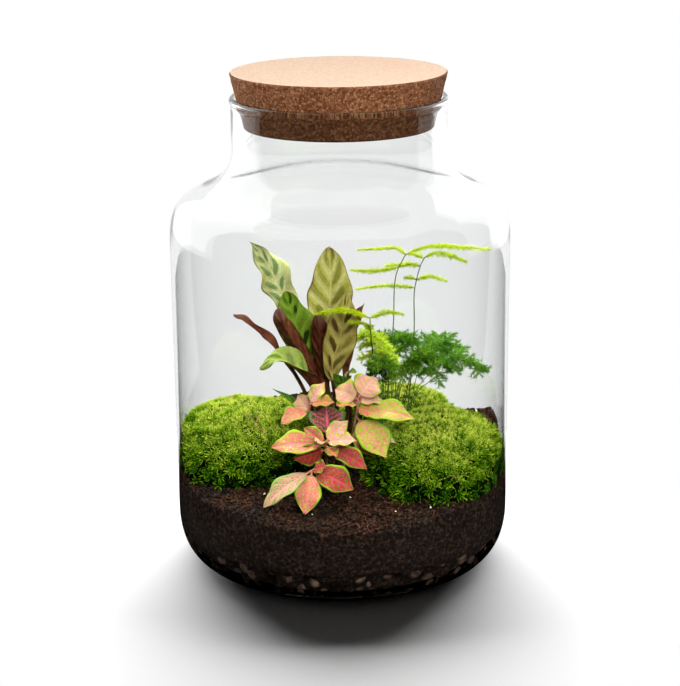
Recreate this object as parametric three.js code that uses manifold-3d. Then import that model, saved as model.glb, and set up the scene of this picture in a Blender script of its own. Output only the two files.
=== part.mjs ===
// A planted glass jar with a tapered cork stopper: clay pebbles, soil, three moss cushions, a prayer plant
// with wavy leaves, a nerve plant with five shoots and an asparagus fern.
// Millimetres, +Z up. The origin is the middle of the jar's foot, and the jar is seen from -Y.
import * as THREE from 'three';
import { mergeVertices } from 'three/addons/utils/BufferGeometryUtils.js';
import Module from 'manifold-3d';

const wasm = await Module();
wasm.setup();
const { Manifold, Mesh } = wasm;

// Driving dimensions of the jar and its stopper. The shoulder curves out of the wall, falls away at
// `slope` where it turns hollow, and runs on into the neck.
const jar = {
  height: 257, bodyRadius: 92.5, neckRadius: 57.8, wall: 3, neckWall: 2.6, base: 4,
  footRadius: 76, footCurveTop: 27, wallTop: 177.5, neckBottom: 232,
};
const shoulder = { radius: 77, height: 207, slope: 0.4, roundReach: 11.3, hollowReach: 12.6 };
const stopper = { top: 270, bottom: 241, topRadius: 58, bottomRadius: 51.5, chamfer: 0.8 };

// Clearances between pieces that touch on the real thing
const gap = { glass: 0.4, mossToGlass: 0.7, rest: 0.35, stemHole: 0.9 };

// Layers in the jar
const pebbles = { radius: 6.4, aroundEachRow: 26, rowHeights: [8.6, 15.2], top: 18, dent: 4 };
const soil = { bottom: 18.4, middle: 52.5, rise: 0.09, grain: 0.5 };
const stemDepth = 8;

// Facets of round and sampled shapes
const facets = { jar: 32, jarCurve: 4, stopper: 32, pebble: 3, soilRings: 7, mossRings: 7 };

const up = new THREE.Vector3(0, 0, 1);
const vec = (p) => new THREE.Vector3(...p);
const lerp = THREE.MathUtils.lerp;

// A repeatable stream of numbers from 0 to 1
function randomFrom(seed) {
  let state = seed;
  return () => {
    state = (state * 1664525 + 1013904223) % 4294967296;
    return state / 4294967296;
  };
}

// Solids and meshes

function solidFromTriangles(points, triangles) {
  let volume = 0;
  for (const [a, b, c] of triangles) {
    volume += points[a].dot(new THREE.Vector3().crossVectors(points[b], points[c]));
  }
  const outward = volume > 0 ? triangles : triangles.map(([a, b, c]) => [a, c, b]);
  return new Manifold(new Mesh({
    numProp: 3,
    vertProperties: new Float32Array(points.flatMap((p) => p.toArray())),
    triVerts: new Uint32Array(outward.flat()),
  }));
}

function solidFromGeometry(geometry) {
  geometry.deleteAttribute('normal');
  geometry.deleteAttribute('uv');
  const merged = mergeVertices(geometry, 1e-3);
  const index = merged.index.array;
  const triangles = [];
  for (let i = 0; i < index.length; i += 3) {
    const [a, b, c] = [index[i], index[i + 1], index[i + 2]];
    if (a !== b && b !== c && c !== a) triangles.push([a, b, c]);
  }
  const position = merged.attributes.position;
  const points = Array.from({ length: position.count }, (_, i) =>
    new THREE.Vector3().fromBufferAttribute(position, i));
  return solidFromTriangles(points, triangles);
}

function geometryFromSolid(solid) {
  const { vertProperties, triVerts } = solid.getMesh();
  const geometry = new THREE.BufferGeometry();
  geometry.setAttribute('position', new THREE.BufferAttribute(vertProperties, 3));
  geometry.setIndex(new THREE.BufferAttribute(triVerts, 1));
  geometry.computeVertexNormals();
  return geometry;
}

// The largest body of a solid. What it leaves may only be scraps.
function mainBody(solid) {
  const bodies = solid.decompose().sort((a, b) => b.volume() - a.volume());
  const scraps = bodies.slice(1).reduce((sum, body) => sum + body.volume(), 0);
  if (scraps > 0.02 * bodies[0].volume()) throw new Error(`a piece came loose: ${scraps} mm3`);
  return bodies[0];
}

// A solid of revolution about Z from [radius, height] points
function turned(profile, segments) {
  const points = profile.map(([r, z]) => new THREE.Vector2(r, z));
  return solidFromGeometry(new THREE.LatheGeometry(points, segments).rotateX(Math.PI / 2));
}

// Glass jar

// The jar's profile from the middle of its foot to the neck, moved in by the wall's thickness for the inside
function jarProfile(inset, neckInset, rise) {
  const foot = jar.footRadius - inset / 2;
  const body = jar.bodyRadius - inset;
  const neck = jar.neckRadius - neckInset;
  const down = new THREE.Vector2(Math.cos(shoulder.slope), -Math.sin(shoulder.slope));
  const turn = new THREE.Vector2(shoulder.radius - inset * Math.sin(shoulder.slope),
    shoulder.height - inset * Math.cos(shoulder.slope));
  const beforeTurn = turn.clone().addScaledVector(down, shoulder.roundReach);
  const afterTurn = turn.clone().addScaledVector(down, -shoulder.hollowReach);
  const curves = [
    [[foot, rise], [lerp(foot, body, 0.63), rise], [body, lerp(rise, jar.footCurveTop, 0.4)],
      [body, jar.footCurveTop]],
    [[body, jar.wallTop], [body, jar.wallTop + 21], beforeTurn.toArray(), turn.toArray()],
    [turn.toArray(), afterTurn.toArray(), [neck, shoulder.height + 10], [neck, jar.neckBottom]],
  ];
  const points = curves.flatMap((corners) => {
    const ends = corners.map(([r, z]) => new THREE.Vector2(r, z));
    return new THREE.CubicBezierCurve(...ends).getPoints(facets.jarCurve);
  });
  const kept = points.filter((p, i) => i === 0 || p.distanceTo(points[i - 1]) > 0.1);
  return [[0, rise], ...kept.map((p) => p.toArray())];
}

function glassJar() {
  const outer = jarProfile(0, 0, 0);
  const inner = jarProfile(jar.wall, jar.neckWall, jar.base);
  const lipRadius = jar.neckWall / 2;
  const lip = [0, 1 / 3, 2 / 3, 1].map((share) => {
    const angle = Math.PI * share;
    return [jar.neckRadius - lipRadius + lipRadius * Math.cos(angle),
      jar.height - lipRadius + lipRadius * Math.sin(angle)];
  });
  return turned([...outer, ...lip, ...inner.reverse()], facets.jar);
}

// The space inside the glass, up to the shoulder, kept `clearance` off the wall and the base
function cavity(clearance) {
  const inner = jarProfile(jar.wall + clearance, jar.neckWall + clearance, jar.base + clearance);
  return turned([...inner.filter(([, z]) => z <= jar.wallTop), [0, jar.wallTop]], facets.jar);
}

function corkStopper() {
  const { top, bottom, topRadius, bottomRadius, chamfer } = stopper;
  return turned([
    [0, bottom], [bottomRadius - chamfer, bottom], [bottomRadius, bottom + chamfer],
    [topRadius, top - chamfer], [topRadius - chamfer, top], [0, top],
  ], facets.stopper);
}

// Drainage and soil

// Radius of the glass's inner face at a height below the shoulder
function innerRadius(z) {
  const profile = jarProfile(jar.wall, jar.neckWall, jar.base).slice(1);
  const above = profile.findIndex(([, height]) => height >= z);
  const [[lowRadius, lowHeight], [highRadius, highHeight]] = [profile[above - 1], profile[above]];
  return lerp(lowRadius, highRadius, (z - lowHeight) / (highHeight - lowHeight));
}

// A packed layer of clay balls. Against the glass it shows two staggered rows of them as round bulges.
function clayPebbles() {
  const sides = pebbles.aroundEachRow * facets.pebble;
  const low = jar.base + gap.glass;
  const levels = Array.from({ length: 7 }, (_, i) => lerp(low, pebbles.top, i / 6));
  const points = levels.flatMap((z) => Array.from({ length: sides }, (_, side) => {
    const angle = (side / sides) * 2 * Math.PI;
    const wall = innerRadius(z) - 2 * gap.glass;
    const bulges = pebbles.rowHeights.map((height, row) => {
      const turn = ((side / facets.pebble + row / 2) % 1) - 0.5;
      const sideways = (turn / pebbles.aroundEachRow) * 2 * Math.PI * wall;
      const off = Math.hypot(sideways, z - height) / pebbles.radius;
      return wall - pebbles.dent * Math.min(1, 1 - Math.sqrt(Math.max(0, 1 - off * off)));
    });
    const radius = Math.max(...bulges);
    return new THREE.Vector3(radius * Math.cos(angle), radius * Math.sin(angle), z);
  }));
  points.push(new THREE.Vector3(0, 0, low), new THREE.Vector3(0, 0, pebbles.top));
  const [bottom, top] = [points.length - 2, points.length - 1];
  const rim = (levels.length - 1) * sides;
  const triangles = [];
  for (let side = 0; side < sides; side += 1) {
    const next = (side + 1) % sides;
    triangles.push([bottom, next, side], [top, rim + side, rim + next]);
    for (let level = 0; level < rim; level += sides) {
      triangles.push([level + side, level + next, level + sides + next]);
      triangles.push([level + side, level + sides + next, level + sides + side]);
    }
  }
  return solidFromTriangles(points, triangles);
}

// Height of the soil: low at the front, heaped round the prayer plant and at the right back
function soilHeight(x, y) {
  const crownHeap = 4.5 * Math.exp(-((x + 3) ** 2 + (y - 14) ** 2) / 900);
  const rightHeap = 12 * Math.exp(-((x - 74) ** 2 + (y - 42) ** 2) / 420);
  const frontDip = -2 * Math.exp(-((x - 8) ** 2 + (y + 80) ** 2) / 700);
  const ripple = 0.8 * Math.sin(x / 9 + 1) * Math.cos(y / 11);
  return soil.middle + soil.rise * y + crownHeap + rightHeap + frontDip + ripple;
}

// A closed heap on a flat bottom, sampled on rings of 6, 12, 18 and so on points. `place` gives x and y for a
// ring and an angle, and `topAt` gives the height there. One point in three is a `peak`, evenly spread.
function heapSolid({ place, rings, bottom, topAt }) {
  const steps = [[1, 0], [0, 1], [-1, 1], [-1, 0], [0, -1], [1, -1]];
  const points = [new THREE.Vector3(...place(0, 0), topAt(...place(0, 0), 0, true))];
  for (let ring = 1; ring <= rings; ring += 1) {
    for (let i = 0; i < 6 * ring; i += 1) {
      const [out, on] = [steps[Math.floor(i / ring)], steps[(Math.floor(i / ring) + 2) % 6]];
      const column = ring * out[0] + (i % ring) * on[0];
      const row = ring * out[1] + (i % ring) * on[1];
      const [x, y] = place(ring, (i / (6 * ring)) * 2 * Math.PI);
      points.push(new THREE.Vector3(x, y, topAt(x, y, ring, (column - row) % 3 === 0)));
    }
  }
  const rimCount = 6 * rings;
  const rim = points.length - rimCount;
  const low = points.length;
  points.push(...points.slice(rim).map((p) => new THREE.Vector3(p.x, p.y, bottom)));
  points.push(new THREE.Vector3(points[0].x, points[0].y, bottom));
  const foot = points.length - 1;
  const indexOn = (ring, i) => (ring === 0 ? 0 : 1 + 3 * ring * (ring - 1) + (i % (6 * ring)));
  const triangles = [];
  for (let ring = 1; ring <= rings; ring += 1) {
    for (let i = 0; i < 6 * ring; i += 1) {
      const inner = Math.floor(i / ring) * (ring - 1) + (i % ring);
      triangles.push([indexOn(ring, i), indexOn(ring, i + 1), indexOn(ring - 1, inner)]);
      if (i % ring < ring - 1) {
        triangles.push([indexOn(ring, i + 1), indexOn(ring - 1, inner + 1), indexOn(ring - 1, inner)]);
      }
    }
  }
  for (let i = 0; i < rimCount; i += 1) {
    const next = (i + 1) % rimCount;
    triangles.push([rim + i, low + i, low + next], [rim + i, low + next, rim + next]);
    triangles.push([foot, low + next, low + i]);
  }
  return solidFromTriangles(points, triangles);
}

function soilBody() {
  const random = randomFrom(21);
  const heap = heapSolid({
    place: (ring, angle) => {
      const radius = ((jar.bodyRadius + 4) * ring) / facets.soilRings;
      return [radius * Math.cos(angle), radius * Math.sin(angle)];
    },
    rings: facets.soilRings, bottom: soil.bottom,
    topAt: (x, y) => soilHeight(x, y) + soil.grain * 2 * (random() - 0.5),
  });
  return heap.intersect(cavity(gap.glass));
}

// Moss cushions: the middle, the half sizes along and across, the turn in radians and the height on the soil
const cushions = [
  { name: 'moss_left', centre: [-55.5, 2], half: [41, 40], turn: 0.4, height: 30 },
  { name: 'moss_right', centre: [52, -17], half: [36, 43], turn: -0.3, height: 30 },
  { name: 'moss_back', centre: [33, 56], half: [34, 25], turn: -0.2, height: 22 },
];
const tuft = { high: 2.6, low: -0.7 };
const cushionFoot = { raised: 2, sunk: 1.5 };

// A dome of moss whose tufts stand up as points, trimmed to the soil and the glass
function mossCushion({ centre, half, turn, height }, ground, seed) {
  const random = randomFrom(seed);
  const shareAt = (ring) => Math.sin((0.5 * Math.PI * ring) / facets.mossRings);
  const dome = heapSolid({
    place: (ring, angle) => {
      const along = half[0] * shareAt(ring) * Math.cos(angle);
      const across = half[1] * shareAt(ring) * Math.sin(angle);
      return [centre[0] + along * Math.cos(turn) - across * Math.sin(turn),
        centre[1] + along * Math.sin(turn) + across * Math.cos(turn)];
    },
    rings: facets.mossRings, bottom: soil.bottom + cushionFoot.raised,
    topAt: (x, y, ring, peak) => {
      const swell = height * (1 - shareAt(ring) ** 2.6) ** 0.6;
      const point = (peak ? tuft.high : tuft.low) * (1 - 0.9 * shareAt(ring) ** 6);
      return soilHeight(x, y) - cushionFoot.sunk + swell + point * lerp(0.6, 1.2, random());
    },
  });
  return dome.subtract(ground.translate([0, 0, gap.rest])).intersect(cavity(gap.mossToGlass));
}

// Stems

// Points that stand a stem upright in the soil at x and y, and then lead it through the rest
function fromSoil([x, y], ...rest) {
  const level = soilHeight(x, y);
  return [[x, y, level - stemDepth], [x, y, level], [x, y, level + 4], ...rest];
}

const smooth = (points) => new THREE.CatmullRomCurve3(points.map(vec), false, 'catmullrom', 0.5);

// Evenly spaced points along a smooth curve through `points`
const routeOf = (points, steps) => smooth(points).getSpacedPoints(steps);

// The same for a stem that stands in the soil, with its buried end straight
const rootedRoute = (points, steps) => [vec(points[0]), ...routeOf(points.slice(2), steps)];

function nearestOn(route, target) {
  const spots = route.slice(1).map((end, i) =>
    new THREE.Line3(route[i], end).closestPointToPoint(target, true, new THREE.Vector3()));
  return spots.reduce((a, b) => (a.distanceTo(target) < b.distanceTo(target) ? a : b));
}

// A stem or twig of a few flat sides along `route`. From the step `needles.from` on, each patch of the sides
// in `needles.sides` rises to a needle's point, so that the twig stays one closed body.
function twigSolid(route, [thick, thin], sides, needles, random) {
  const last = route.length - 1;
  const rings = [];
  const ways = [];
  let across = null;
  for (let i = 0; i <= last; i += 1) {
    const along = route[Math.min(i + 1, last)].clone().sub(route[Math.max(i - 1, 0)]).normalize();
    if (!across) across = Math.abs(along.z) > 0.8 ? new THREE.Vector3(1, 0, 0) : along.clone().cross(up);
    across.addScaledVector(along, -across.dot(along)).normalize();
    const other = along.clone().cross(across);
    const radius = lerp(thick, thin, i / last);
    rings.push(Array.from({ length: sides }, (_, k) => {
      const angle = ((k + 0.5) / sides) * 2 * Math.PI + (needles?.twist ?? 0) * i;
      return route[i].clone().addScaledVector(across, radius * Math.cos(angle))
        .addScaledVector(other, radius * Math.sin(angle));
    }));
    ways.push(along);
  }
  const points = rings.flat();
  const triangles = [];
  for (let k = 1; k < sides - 1; k += 1) triangles.push([0, k + 1, k]);
  for (let i = 0; i < last; i += 1) {
    for (let k = 0; k < sides; k += 1) {
      const next = (k + 1) % sides;
      const corners = [i * sides + k, i * sides + next, (i + 1) * sides + next, (i + 1) * sides + k];
      if (needles && i >= needles.from && needles.sides.includes(k)) {
        const middle = route[i].clone().lerp(route[i + 1], 0.5);
        const patch = corners.reduce((sum, c) => sum.addScaledVector(points[c], 0.25), new THREE.Vector3());
        const way = patch.sub(middle).normalize().addScaledVector(ways[i], needles.lean)
          .addScaledVector(up, needles.lift).normalize();
        const length = needles.length * (1 - 0.5 * (i / last) ** 2) * lerp(0.8, 1.1, random());
        points.push(middle.addScaledVector(way, length));
        corners.forEach((c, n) => triangles.push([c, corners[(n + 1) % 4], points.length - 1]));
      } else {
        triangles.push([corners[0], corners[1], corners[2]], [corners[0], corners[2], corners[3]]);
      }
    }
  }
  points.push(route[last].clone().addScaledVector(ways[last], needles ? needles.length / 2 : thin));
  for (let k = 0; k < sides; k += 1) {
    triangles.push([last * sides + k, last * sides + ((k + 1) % sides), points.length - 1]);
  }
  return solidFromTriangles(points, triangles);
}

// Leaves

// Share of the full half width along a blade, widest at `peak`
function bladeOutline(u, peak, fullness) {
  const power = Math.log(0.5) / Math.log(peak);
  return Math.sin(Math.PI * u ** power) ** fullness;
}

// A leaf and its stalk as one closed body: `upper` and `lower` rows of points along the middle line. The
// stalk follows `path` and the blade starts at the point numbered `bladeAt`. `face` is where the upper side
// looks at the blade's base and tip, `fold` raises both halves, and `wave` ruffles the edge.
function leafSolid(leaf, { stalkSteps, bladeSteps, across, thickness, rooted }) {
  const curve = smooth(leaf.path);
  const bladeFrom = leaf.bladeAt / (leaf.path.length - 1);
  const stalkFrom = rooted ? 2 / (leaf.path.length - 1) : 0;
  const stations = [
    ...(rooted ? [0] : []),
    ...Array.from({ length: stalkSteps }, (_, i) => lerp(stalkFrom, bladeFrom, i / stalkSteps)),
    ...Array.from({ length: bladeSteps }, (_, i) => lerp(bladeFrom, 1, i / bladeSteps)),
  ];
  const [faceBase, faceTip] = [leaf.face[0], leaf.face[1] ?? leaf.face[0]].map(vec);
  const upper = [];
  const lower = [];
  for (const t of stations) {
    const u = Math.max(0, (t - bladeFrom) / (1 - bladeFrom));
    const along = curve.getTangent(t);
    const side = along.clone().cross(faceBase.clone().lerp(faceTip, u)).normalize();
    const normal = side.clone().cross(along).normalize();
    const half = leaf.stalk + (leaf.halfWidth - leaf.stalk) * bladeOutline(u, leaf.peak, leaf.full);
    const fold = lerp(leaf.fold[0], leaf.fold[1], u) * Math.min(1, u * 6);
    const slab = lerp(leaf.stalk * 1.7, thickness, Math.min(1, u * 5));
    for (let j = 0; j <= across; j += 1) {
      const s = (2 * j) / across - 1;
      const phase = 2 * Math.PI * (leaf.waves * u + (s > 0 ? 0.3 : 0));
      const ruffle = leaf.wave * Math.sin(phase) * s * s * Math.min(1, u * 4);
      const point = curve.getPoint(t).addScaledVector(side, s * half * Math.cos(fold))
        .addScaledVector(normal, Math.abs(s) * half * Math.sin(fold) + ruffle);
      const halfThickness = Math.max(0.3, 0.5 * lerp(slab, slab * 0.6, Math.abs(s)));
      upper.push(point.clone().addScaledVector(normal, halfThickness));
      lower.push(point.clone().addScaledVector(normal, -halfThickness));
    }
  }
  const points = [...upper, ...lower, curve.getPoint(1)];
  const tip = points.length - 1;
  const width = across + 1;
  const last = stations.length - 1;
  const top = (k, j) => k * width + j;
  const under = (k, j) => upper.length + k * width + j;
  const triangles = [];
  for (let k = 0; k < last; k += 1) {
    for (let j = 0; j < across; j += 1) {
      triangles.push([top(k, j), top(k, j + 1), top(k + 1, j + 1)],
        [top(k, j), top(k + 1, j + 1), top(k + 1, j)]);
      triangles.push([under(k, j), under(k + 1, j + 1), under(k, j + 1)],
        [under(k, j), under(k + 1, j), under(k + 1, j + 1)]);
    }
    triangles.push([top(k, 0), top(k + 1, 0), under(k + 1, 0)], [top(k, 0), under(k + 1, 0), under(k, 0)]);
    triangles.push([top(k, across), under(k + 1, across), top(k + 1, across)],
      [top(k, across), under(k, across), under(k + 1, across)]);
  }
  for (let j = 0; j < across; j += 1) {
    triangles.push([top(0, j), under(0, j), under(0, j + 1)], [top(0, j), under(0, j + 1), top(0, j + 1)]);
    triangles.push([top(last, j), top(last, j + 1), tip], [under(last, j + 1), under(last, j), tip]);
  }
  triangles.push([top(last, 0), tip, under(last, 0)], [top(last, across), under(last, across), tip]);
  return solidFromTriangles(points, triangles);
}

// Prayer plant: every leaf on its own stalk from the crown
const prayerShape = { stalk: 1.1, peak: 0.52, full: 0.8 };
const prayerMesh = { stalkSteps: 2, bladeSteps: 7, across: 4, thickness: 0.8, rooted: true };
const prayerLeaves = [
  { path: fromSoil([-8, 17], [-15, 19, 92], [-25, 21, 121], [-33, 22, 142], [-41, 23, 158], [-51, 22, 172]),
    bladeAt: 4.4, halfWidth: 7.4, face: [[0.2, -1, 0.3]], fold: [0.4, 0.1], wave: 2, waves: 2.6 },
  { path: fromSoil([-3, 18], [-8, 18, 90], [-8, 18, 112], [-6.5, 19, 132], [-5.5, 20, 150], [-6.3, 21, 169]),
    bladeAt: 3.5, halfWidth: 13, face: [[0, -1, 0.2]], fold: [0.25, 0.05], wave: 0.9, waves: 3 },
  { path: fromSoil([0, 9], [-4, 7, 88], [-5, 4, 104], [-1, 3, 120], [2, 3, 134], [4, 5, 147]),
    bladeAt: 3.4, halfWidth: 9.5, face: [[0.1, -1, 0.2]], fold: [0.45, 0.1], wave: 0.9, waves: 2.5 },
  { path: fromSoil([-8, 12], [-13, 12, 90], [-19, 12, 108], [-26, 12, 129], [-31, 13, 146]),
    bladeAt: 3.7, halfWidth: 8.2, face: [[0.3, -1, 0.3]], fold: [0.4, 0.15], wave: 1, waves: 2 },
  { path: fromSoil([-5.5, 7], [-10, 6, 84], [-16, 4, 100], [-24, 2, 115], [-31, 0, 129], [-34, 3, 139.5]),
    bladeAt: 3.7, halfWidth: 8, face: [[-0.35, 0.9, 0.45]], fold: [0.8, 0.5], wave: 0.5, waves: 2 },
  { path: fromSoil([-12.5, 8], [-19, 8, 84], [-28, 8.5, 102], [-38, 9, 115], [-48, 9.5, 125], [-60, 10, 134]),
    bladeAt: 3.9, halfWidth: 4.6, face: [[-0.5, 0.5, 0.75]], fold: [0.8, 0.3], wave: 1.2, waves: 2.6 },
  { path: fromSoil([-9, 3], [-12, 0, 80], [-18, -4, 97], [-28, -6, 109], [-37, -8, 113], [-45, -9, 107]),
    bladeAt: 3.1, halfWidth: 9.3, face: [[0, -0.1, 1], [-0.1, -0.75, 0.65]], fold: [1.1, 0.1], wave: 1,
    waves: 1.6 },
  { path: fromSoil([-4, 12.5], [-9, 9, 88], [-11, 6, 104], [-12.5, 5.5, 120], [-15, 6, 142]),
    bladeAt: 3.4, halfWidth: 5.4, face: [[0.2, 1, 0.1]], fold: [0.5, 0.3], wave: 0.4, waves: 2 },
  { path: fromSoil([3, 14], [3, 15, 86], [4, 18, 100], [7, 22, 116], [10.5, 26.5, 127], [13.5, 30, 134]),
    bladeAt: 3.2, halfWidth: 5.6, face: [[-0.4, 0.7, 0.6]], fold: [0.7, 0.2], wave: 0.8, waves: 2.5 },
  { path: fromSoil([4.5, 6], [5, 1, 82], [3, -4, 92], [0, -7, 98], [-4.5, -8, 104]),
    bladeAt: 3.1, halfWidth: 5.2, face: [[0.1, -1, 0.35]], fold: [0.3, 0.1], wave: 0.3, waves: 1 },
  { path: fromSoil([8, 11], [8, 7, 84], [4, 2, 98], [5, -2, 103], [8.5, -4, 104]),
    bladeAt: 3.75, halfWidth: 2.6, face: [[0, -0.6, 0.8]], fold: [0.3, 0.1], wave: 0.7, waves: 1.5 },
  { path: fromSoil([-14, 3], [-17, 3, 72], [-22, 3, 80], [-30, 4, 86], [-39, 5, 91.5]),
    bladeAt: 3, halfWidth: 3, face: [[0, -0.4, 1]], fold: [0.5, 0.2], wave: 0.3, waves: 1.5 },
].map((leaf) => ({ ...prayerShape, ...leaf }));

// Nerve plant: shoots with a stem and leaves. A leaf is [foot, tip, half width, face, arch].
const nerveStem = { thick: 0.9, thin: 0.7, sides: 4, steps: 3 };
const nerveShape = { bladeAt: 0.2, stalk: 0.6, peak: 0.46, full: 0.6, fold: [0.3, 0.2], wave: 0, waves: 0 };
const nerveWidth = 1.12;
const nerveMesh = { stalkSteps: 1, bladeSteps: 4, across: 2, thickness: 0.7, rooted: false };
const nerveShoots = [
  { name: 'nerve_plant_front', stem: fromSoil([-12, -38], [-13, -46, 60], [-16, -53, 64.5]),
    leaves: [
      [[-16, -53, 64.5], [-20.5, -69, 49.5], 5.6, [0, -0.9, 0.5], 1.5],
      [[-16, -53, 64.5], [6, -61, 56], 6.2, [0.1, -0.75, 0.65], 2.5],
      [[-16, -53, 64.5], [-41, -65, 50.5], 5.2, [-0.2, -0.5, 0.85], 2.5],
      [[-16, -53, 64.5], [-8.5, -57, 67.5], 3.6, [0.2, -0.6, 0.8], 1],
    ] },
  { name: 'nerve_plant_middle', stem: fromSoil([-8, -30], [-8.5, -36, 64], [-9, -42, 76]),
    leaves: [
      [[-9, -41, 70], [-26, -50, 70], 4.8, [0, -1, 0.25], 1],
      [[-9, -42, 74], [-38, -46, 75], 6, [-0.1, -0.6, 0.8], 2.5],
      [[-9, -42, 75], [-20.5, -38, 83.5], 3.7, [-0.4, -0.8, 0.5], 1],
      [[-9, -42, 76], [3.5, -36, 86.5], 4, [-0.3, -0.8, 0.5], 1],
      [[-9, -42, 75.5], [8, -48, 79], 3.9, [0, -0.5, 0.85], 1.5],
      [[-9, -41.5, 73], [13.5, -52, 64], 4.7, [0.2, -0.7, 0.7], 3],
      [[-9, -42, 75.5], [-13, -51, 79], 3, [0, -0.3, 1], 0.8],
      [[-9, -41.5, 72], [-3, -51, 71], 3, [0.1, -0.5, 0.9], 0.8],
    ] },
  { name: 'nerve_plant_right', stem: fromSoil([1, -21], [5, -25, 72], [7.5, -27, 84], [9, -26, 96]),
    leaves: [
      [[9, -26, 95], [-3.5, -22, 99.5], 6, [0, -0.75, 0.7], 1.5],
      [[9, -26, 96], [18.5, -18, 105], 6.6, [0, -0.85, 0.55], 1.5],
      [[9, -27, 92], [-3, -32, 93.5], 4.8, [0.1, -0.2, 1], 1.5],
      [[9, -26, 93], [24, -24, 93], 3.2, [0.1, -0.4, 0.9], 1.5],
      [[9, -27, 90], [18, -31, 88], 3.4, [0.2, -0.7, 0.7], 1],
      [[8, -26.5, 88], [39.5, -31, 85], 6, [0.1, -0.55, 0.85], 4],
      [[8, -27.5, 85.5], [23.5, -45, 68], 7.4, [0.3, -0.85, 0.5], 2],
      [[7, -27, 80], [18, -40, 66.5], 5.6, [0.1, -0.8, 0.6], 1],
      [[7, -26.5, 79], [29, -37, 73.5], 5, [0.2, -0.7, 0.7], 2],
      [[9, -25, 91], [15, -9, 92], 6, [0, 0.5, 0.85], 2.5],
    ] },
  { name: 'nerve_plant_left', stem: fromSoil([-18, -17], [-18, -18, 76], [-17.5, -20, 91]),
    leaves: [
      [[-16, -20.5, 86], [-33, -28, 81.5], 4.8, [-0.1, -0.4, 0.9], 2.5],
      [[-15.5, -20, 90], [-9, -15, 101.5], 3.6, [-0.5, -0.8, 0.3], 1],
      [[-15, -20.5, 90], [-3.5, -25.5, 93], 3.2, [0, -0.5, 0.85], 1.5],
      [[-16, -19.5, 85], [-24, -12, 93], 4.2, [-0.3, -0.7, 0.7], 1],
      [[-16, -18.5, 82], [-28, -9, 79], 5, [-0.3, 0.5, 0.8], 2],
    ] },
  { name: 'nerve_plant_centre', stem: fromSoil([-5, -20], [-6, -27, 66], [-7.5, -33, 76]),
    leaves: [
      [[-7.5, -33, 76], [-8.5, -13, 86.5], 8.2, [0, -0.45, 0.9], 1.5],
      [[-7, -30.5, 71], [6, -36.5, 75], 4, [0.2, -0.6, 0.8], 1],
      [[-8, -31, 72], [-22, -32, 71.5], 4.4, [-0.2, -0.6, 0.8], 1.5],
    ] },
];

function nerveShoot({ stem, leaves }) {
  const route = rootedRoute(stem, nerveStem.steps);
  const parts = leaves.map(([foot, tip, halfWidth, face, arch]) => {
    const start = nearestOn(route, vec(foot));
    const middle = start.clone().lerp(vec(tip), 0.55).addScaledVector(vec(face).normalize(), arch);
    const path = [start.toArray(), middle.toArray(), tip];
    return leafSolid({ ...nerveShape, path, halfWidth: nerveWidth * halfWidth, face: [face] }, nerveMesh);
  });
  return mainBody(Manifold.union([
    twigSolid(route, [nerveStem.thick, nerveStem.thin], nerveStem.sides), ...parts,
  ]));
}

// Asparagus fern

const fernStem = { thick: 0.75, thin: 0.5, tip: 0.35, sides: 4 };

// High stems with level sprays, whose needles stand on the left and right sides only
const levelNeedles = { from: 1, sides: [1, 3], lean: 0.7, lift: 0.15, spacing: 3 };
const highStems = [
  { name: 'fern_high_left',
    stem: fromSoil([25, 22], [28, 24, 100], [30, 25, 124], [31, 25, 149], [37, 24, 162]),
    sprays: [
      { path: [[37, 24, 162], [45, 22, 166.5], [56, 20, 168], [72, 17, 167.5], [82, 12.4, 166.6]],
        length: 6 },
      { path: [[37, 24, 162], [30, 26, 165], [19, 28, 164.6], [9, 30, 163]], length: 5 },
      { path: [[31, 25, 150], [24, 25, 153.8], [15, 25, 154], [5.5, 25, 152.6]], length: 4.5 },
      { path: [[31.2, 25, 150.5], [37, 23.5, 152.5], [43, 22, 151.5]], length: 4 },
    ] },
  { name: 'fern_high_right',
    stem: fromSoil([37, 24], [40.5, 28, 95], [42, 30, 118], [42, 30, 140], [45, 30, 153], [48, 29, 159]),
    sprays: [
      { path: [[48, 29, 159], [56, 27, 161.5], [66, 25, 160], [73, 23, 157]], length: 6.5 },
      { path: [[46, 30, 156], [40, 32, 159.2], [33, 33, 159]], length: 4.5 },
      { path: [[45, 30, 153], [40, 32, 155.6], [33, 34, 155], [25, 35, 152.6]], length: 4.5 },
      { path: [[43, 30, 146.5], [48, 29, 149.4], [54, 28, 149.6], [61, 26, 147]], length: 4.5 },
      { path: [[42, 30, 140], [35, 32, 144], [24, 35, 144.6], [9.5, 38, 140]], length: 4.5 },
    ] },
  { name: 'fern_low_left',
    stem: fromSoil([20, 17], [19, 13, 96], [17, 5, 118], [16, -4, 134.6]),
    sprays: [
      { path: [[16, -4, 134.6], [6, -6.5, 138], [-4, -8, 139], [-14, -9.5, 137.5]], length: 6.5 },
      { path: [[16, -4, 134.6], [24, -1, 136.6], [34, 3, 134]], length: 6 },
      { path: [[17, 3, 122], [10, -5, 128], [1, -10, 129]], length: 4.5 },
    ] },
];

function highStem({ stem, sprays }, seed) {
  const random = randomFrom(seed);
  const { thick, thin, tip, sides } = fernStem;
  const route = rootedRoute(stem, 8);
  const parts = sprays.map(({ path, length }) => {
    const line = smooth([nearestOn(route, vec(path[0])).toArray(), ...path.slice(1)]);
    const spots = line.getSpacedPoints(Math.round(line.getLength() / levelNeedles.spacing));
    return twigSolid(spots, [thin, tip], sides, { ...levelNeedles, length }, random);
  });
  return mainBody(Manifold.union([twigSolid(route, [thick, thin], sides), ...parts]));
}

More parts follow.
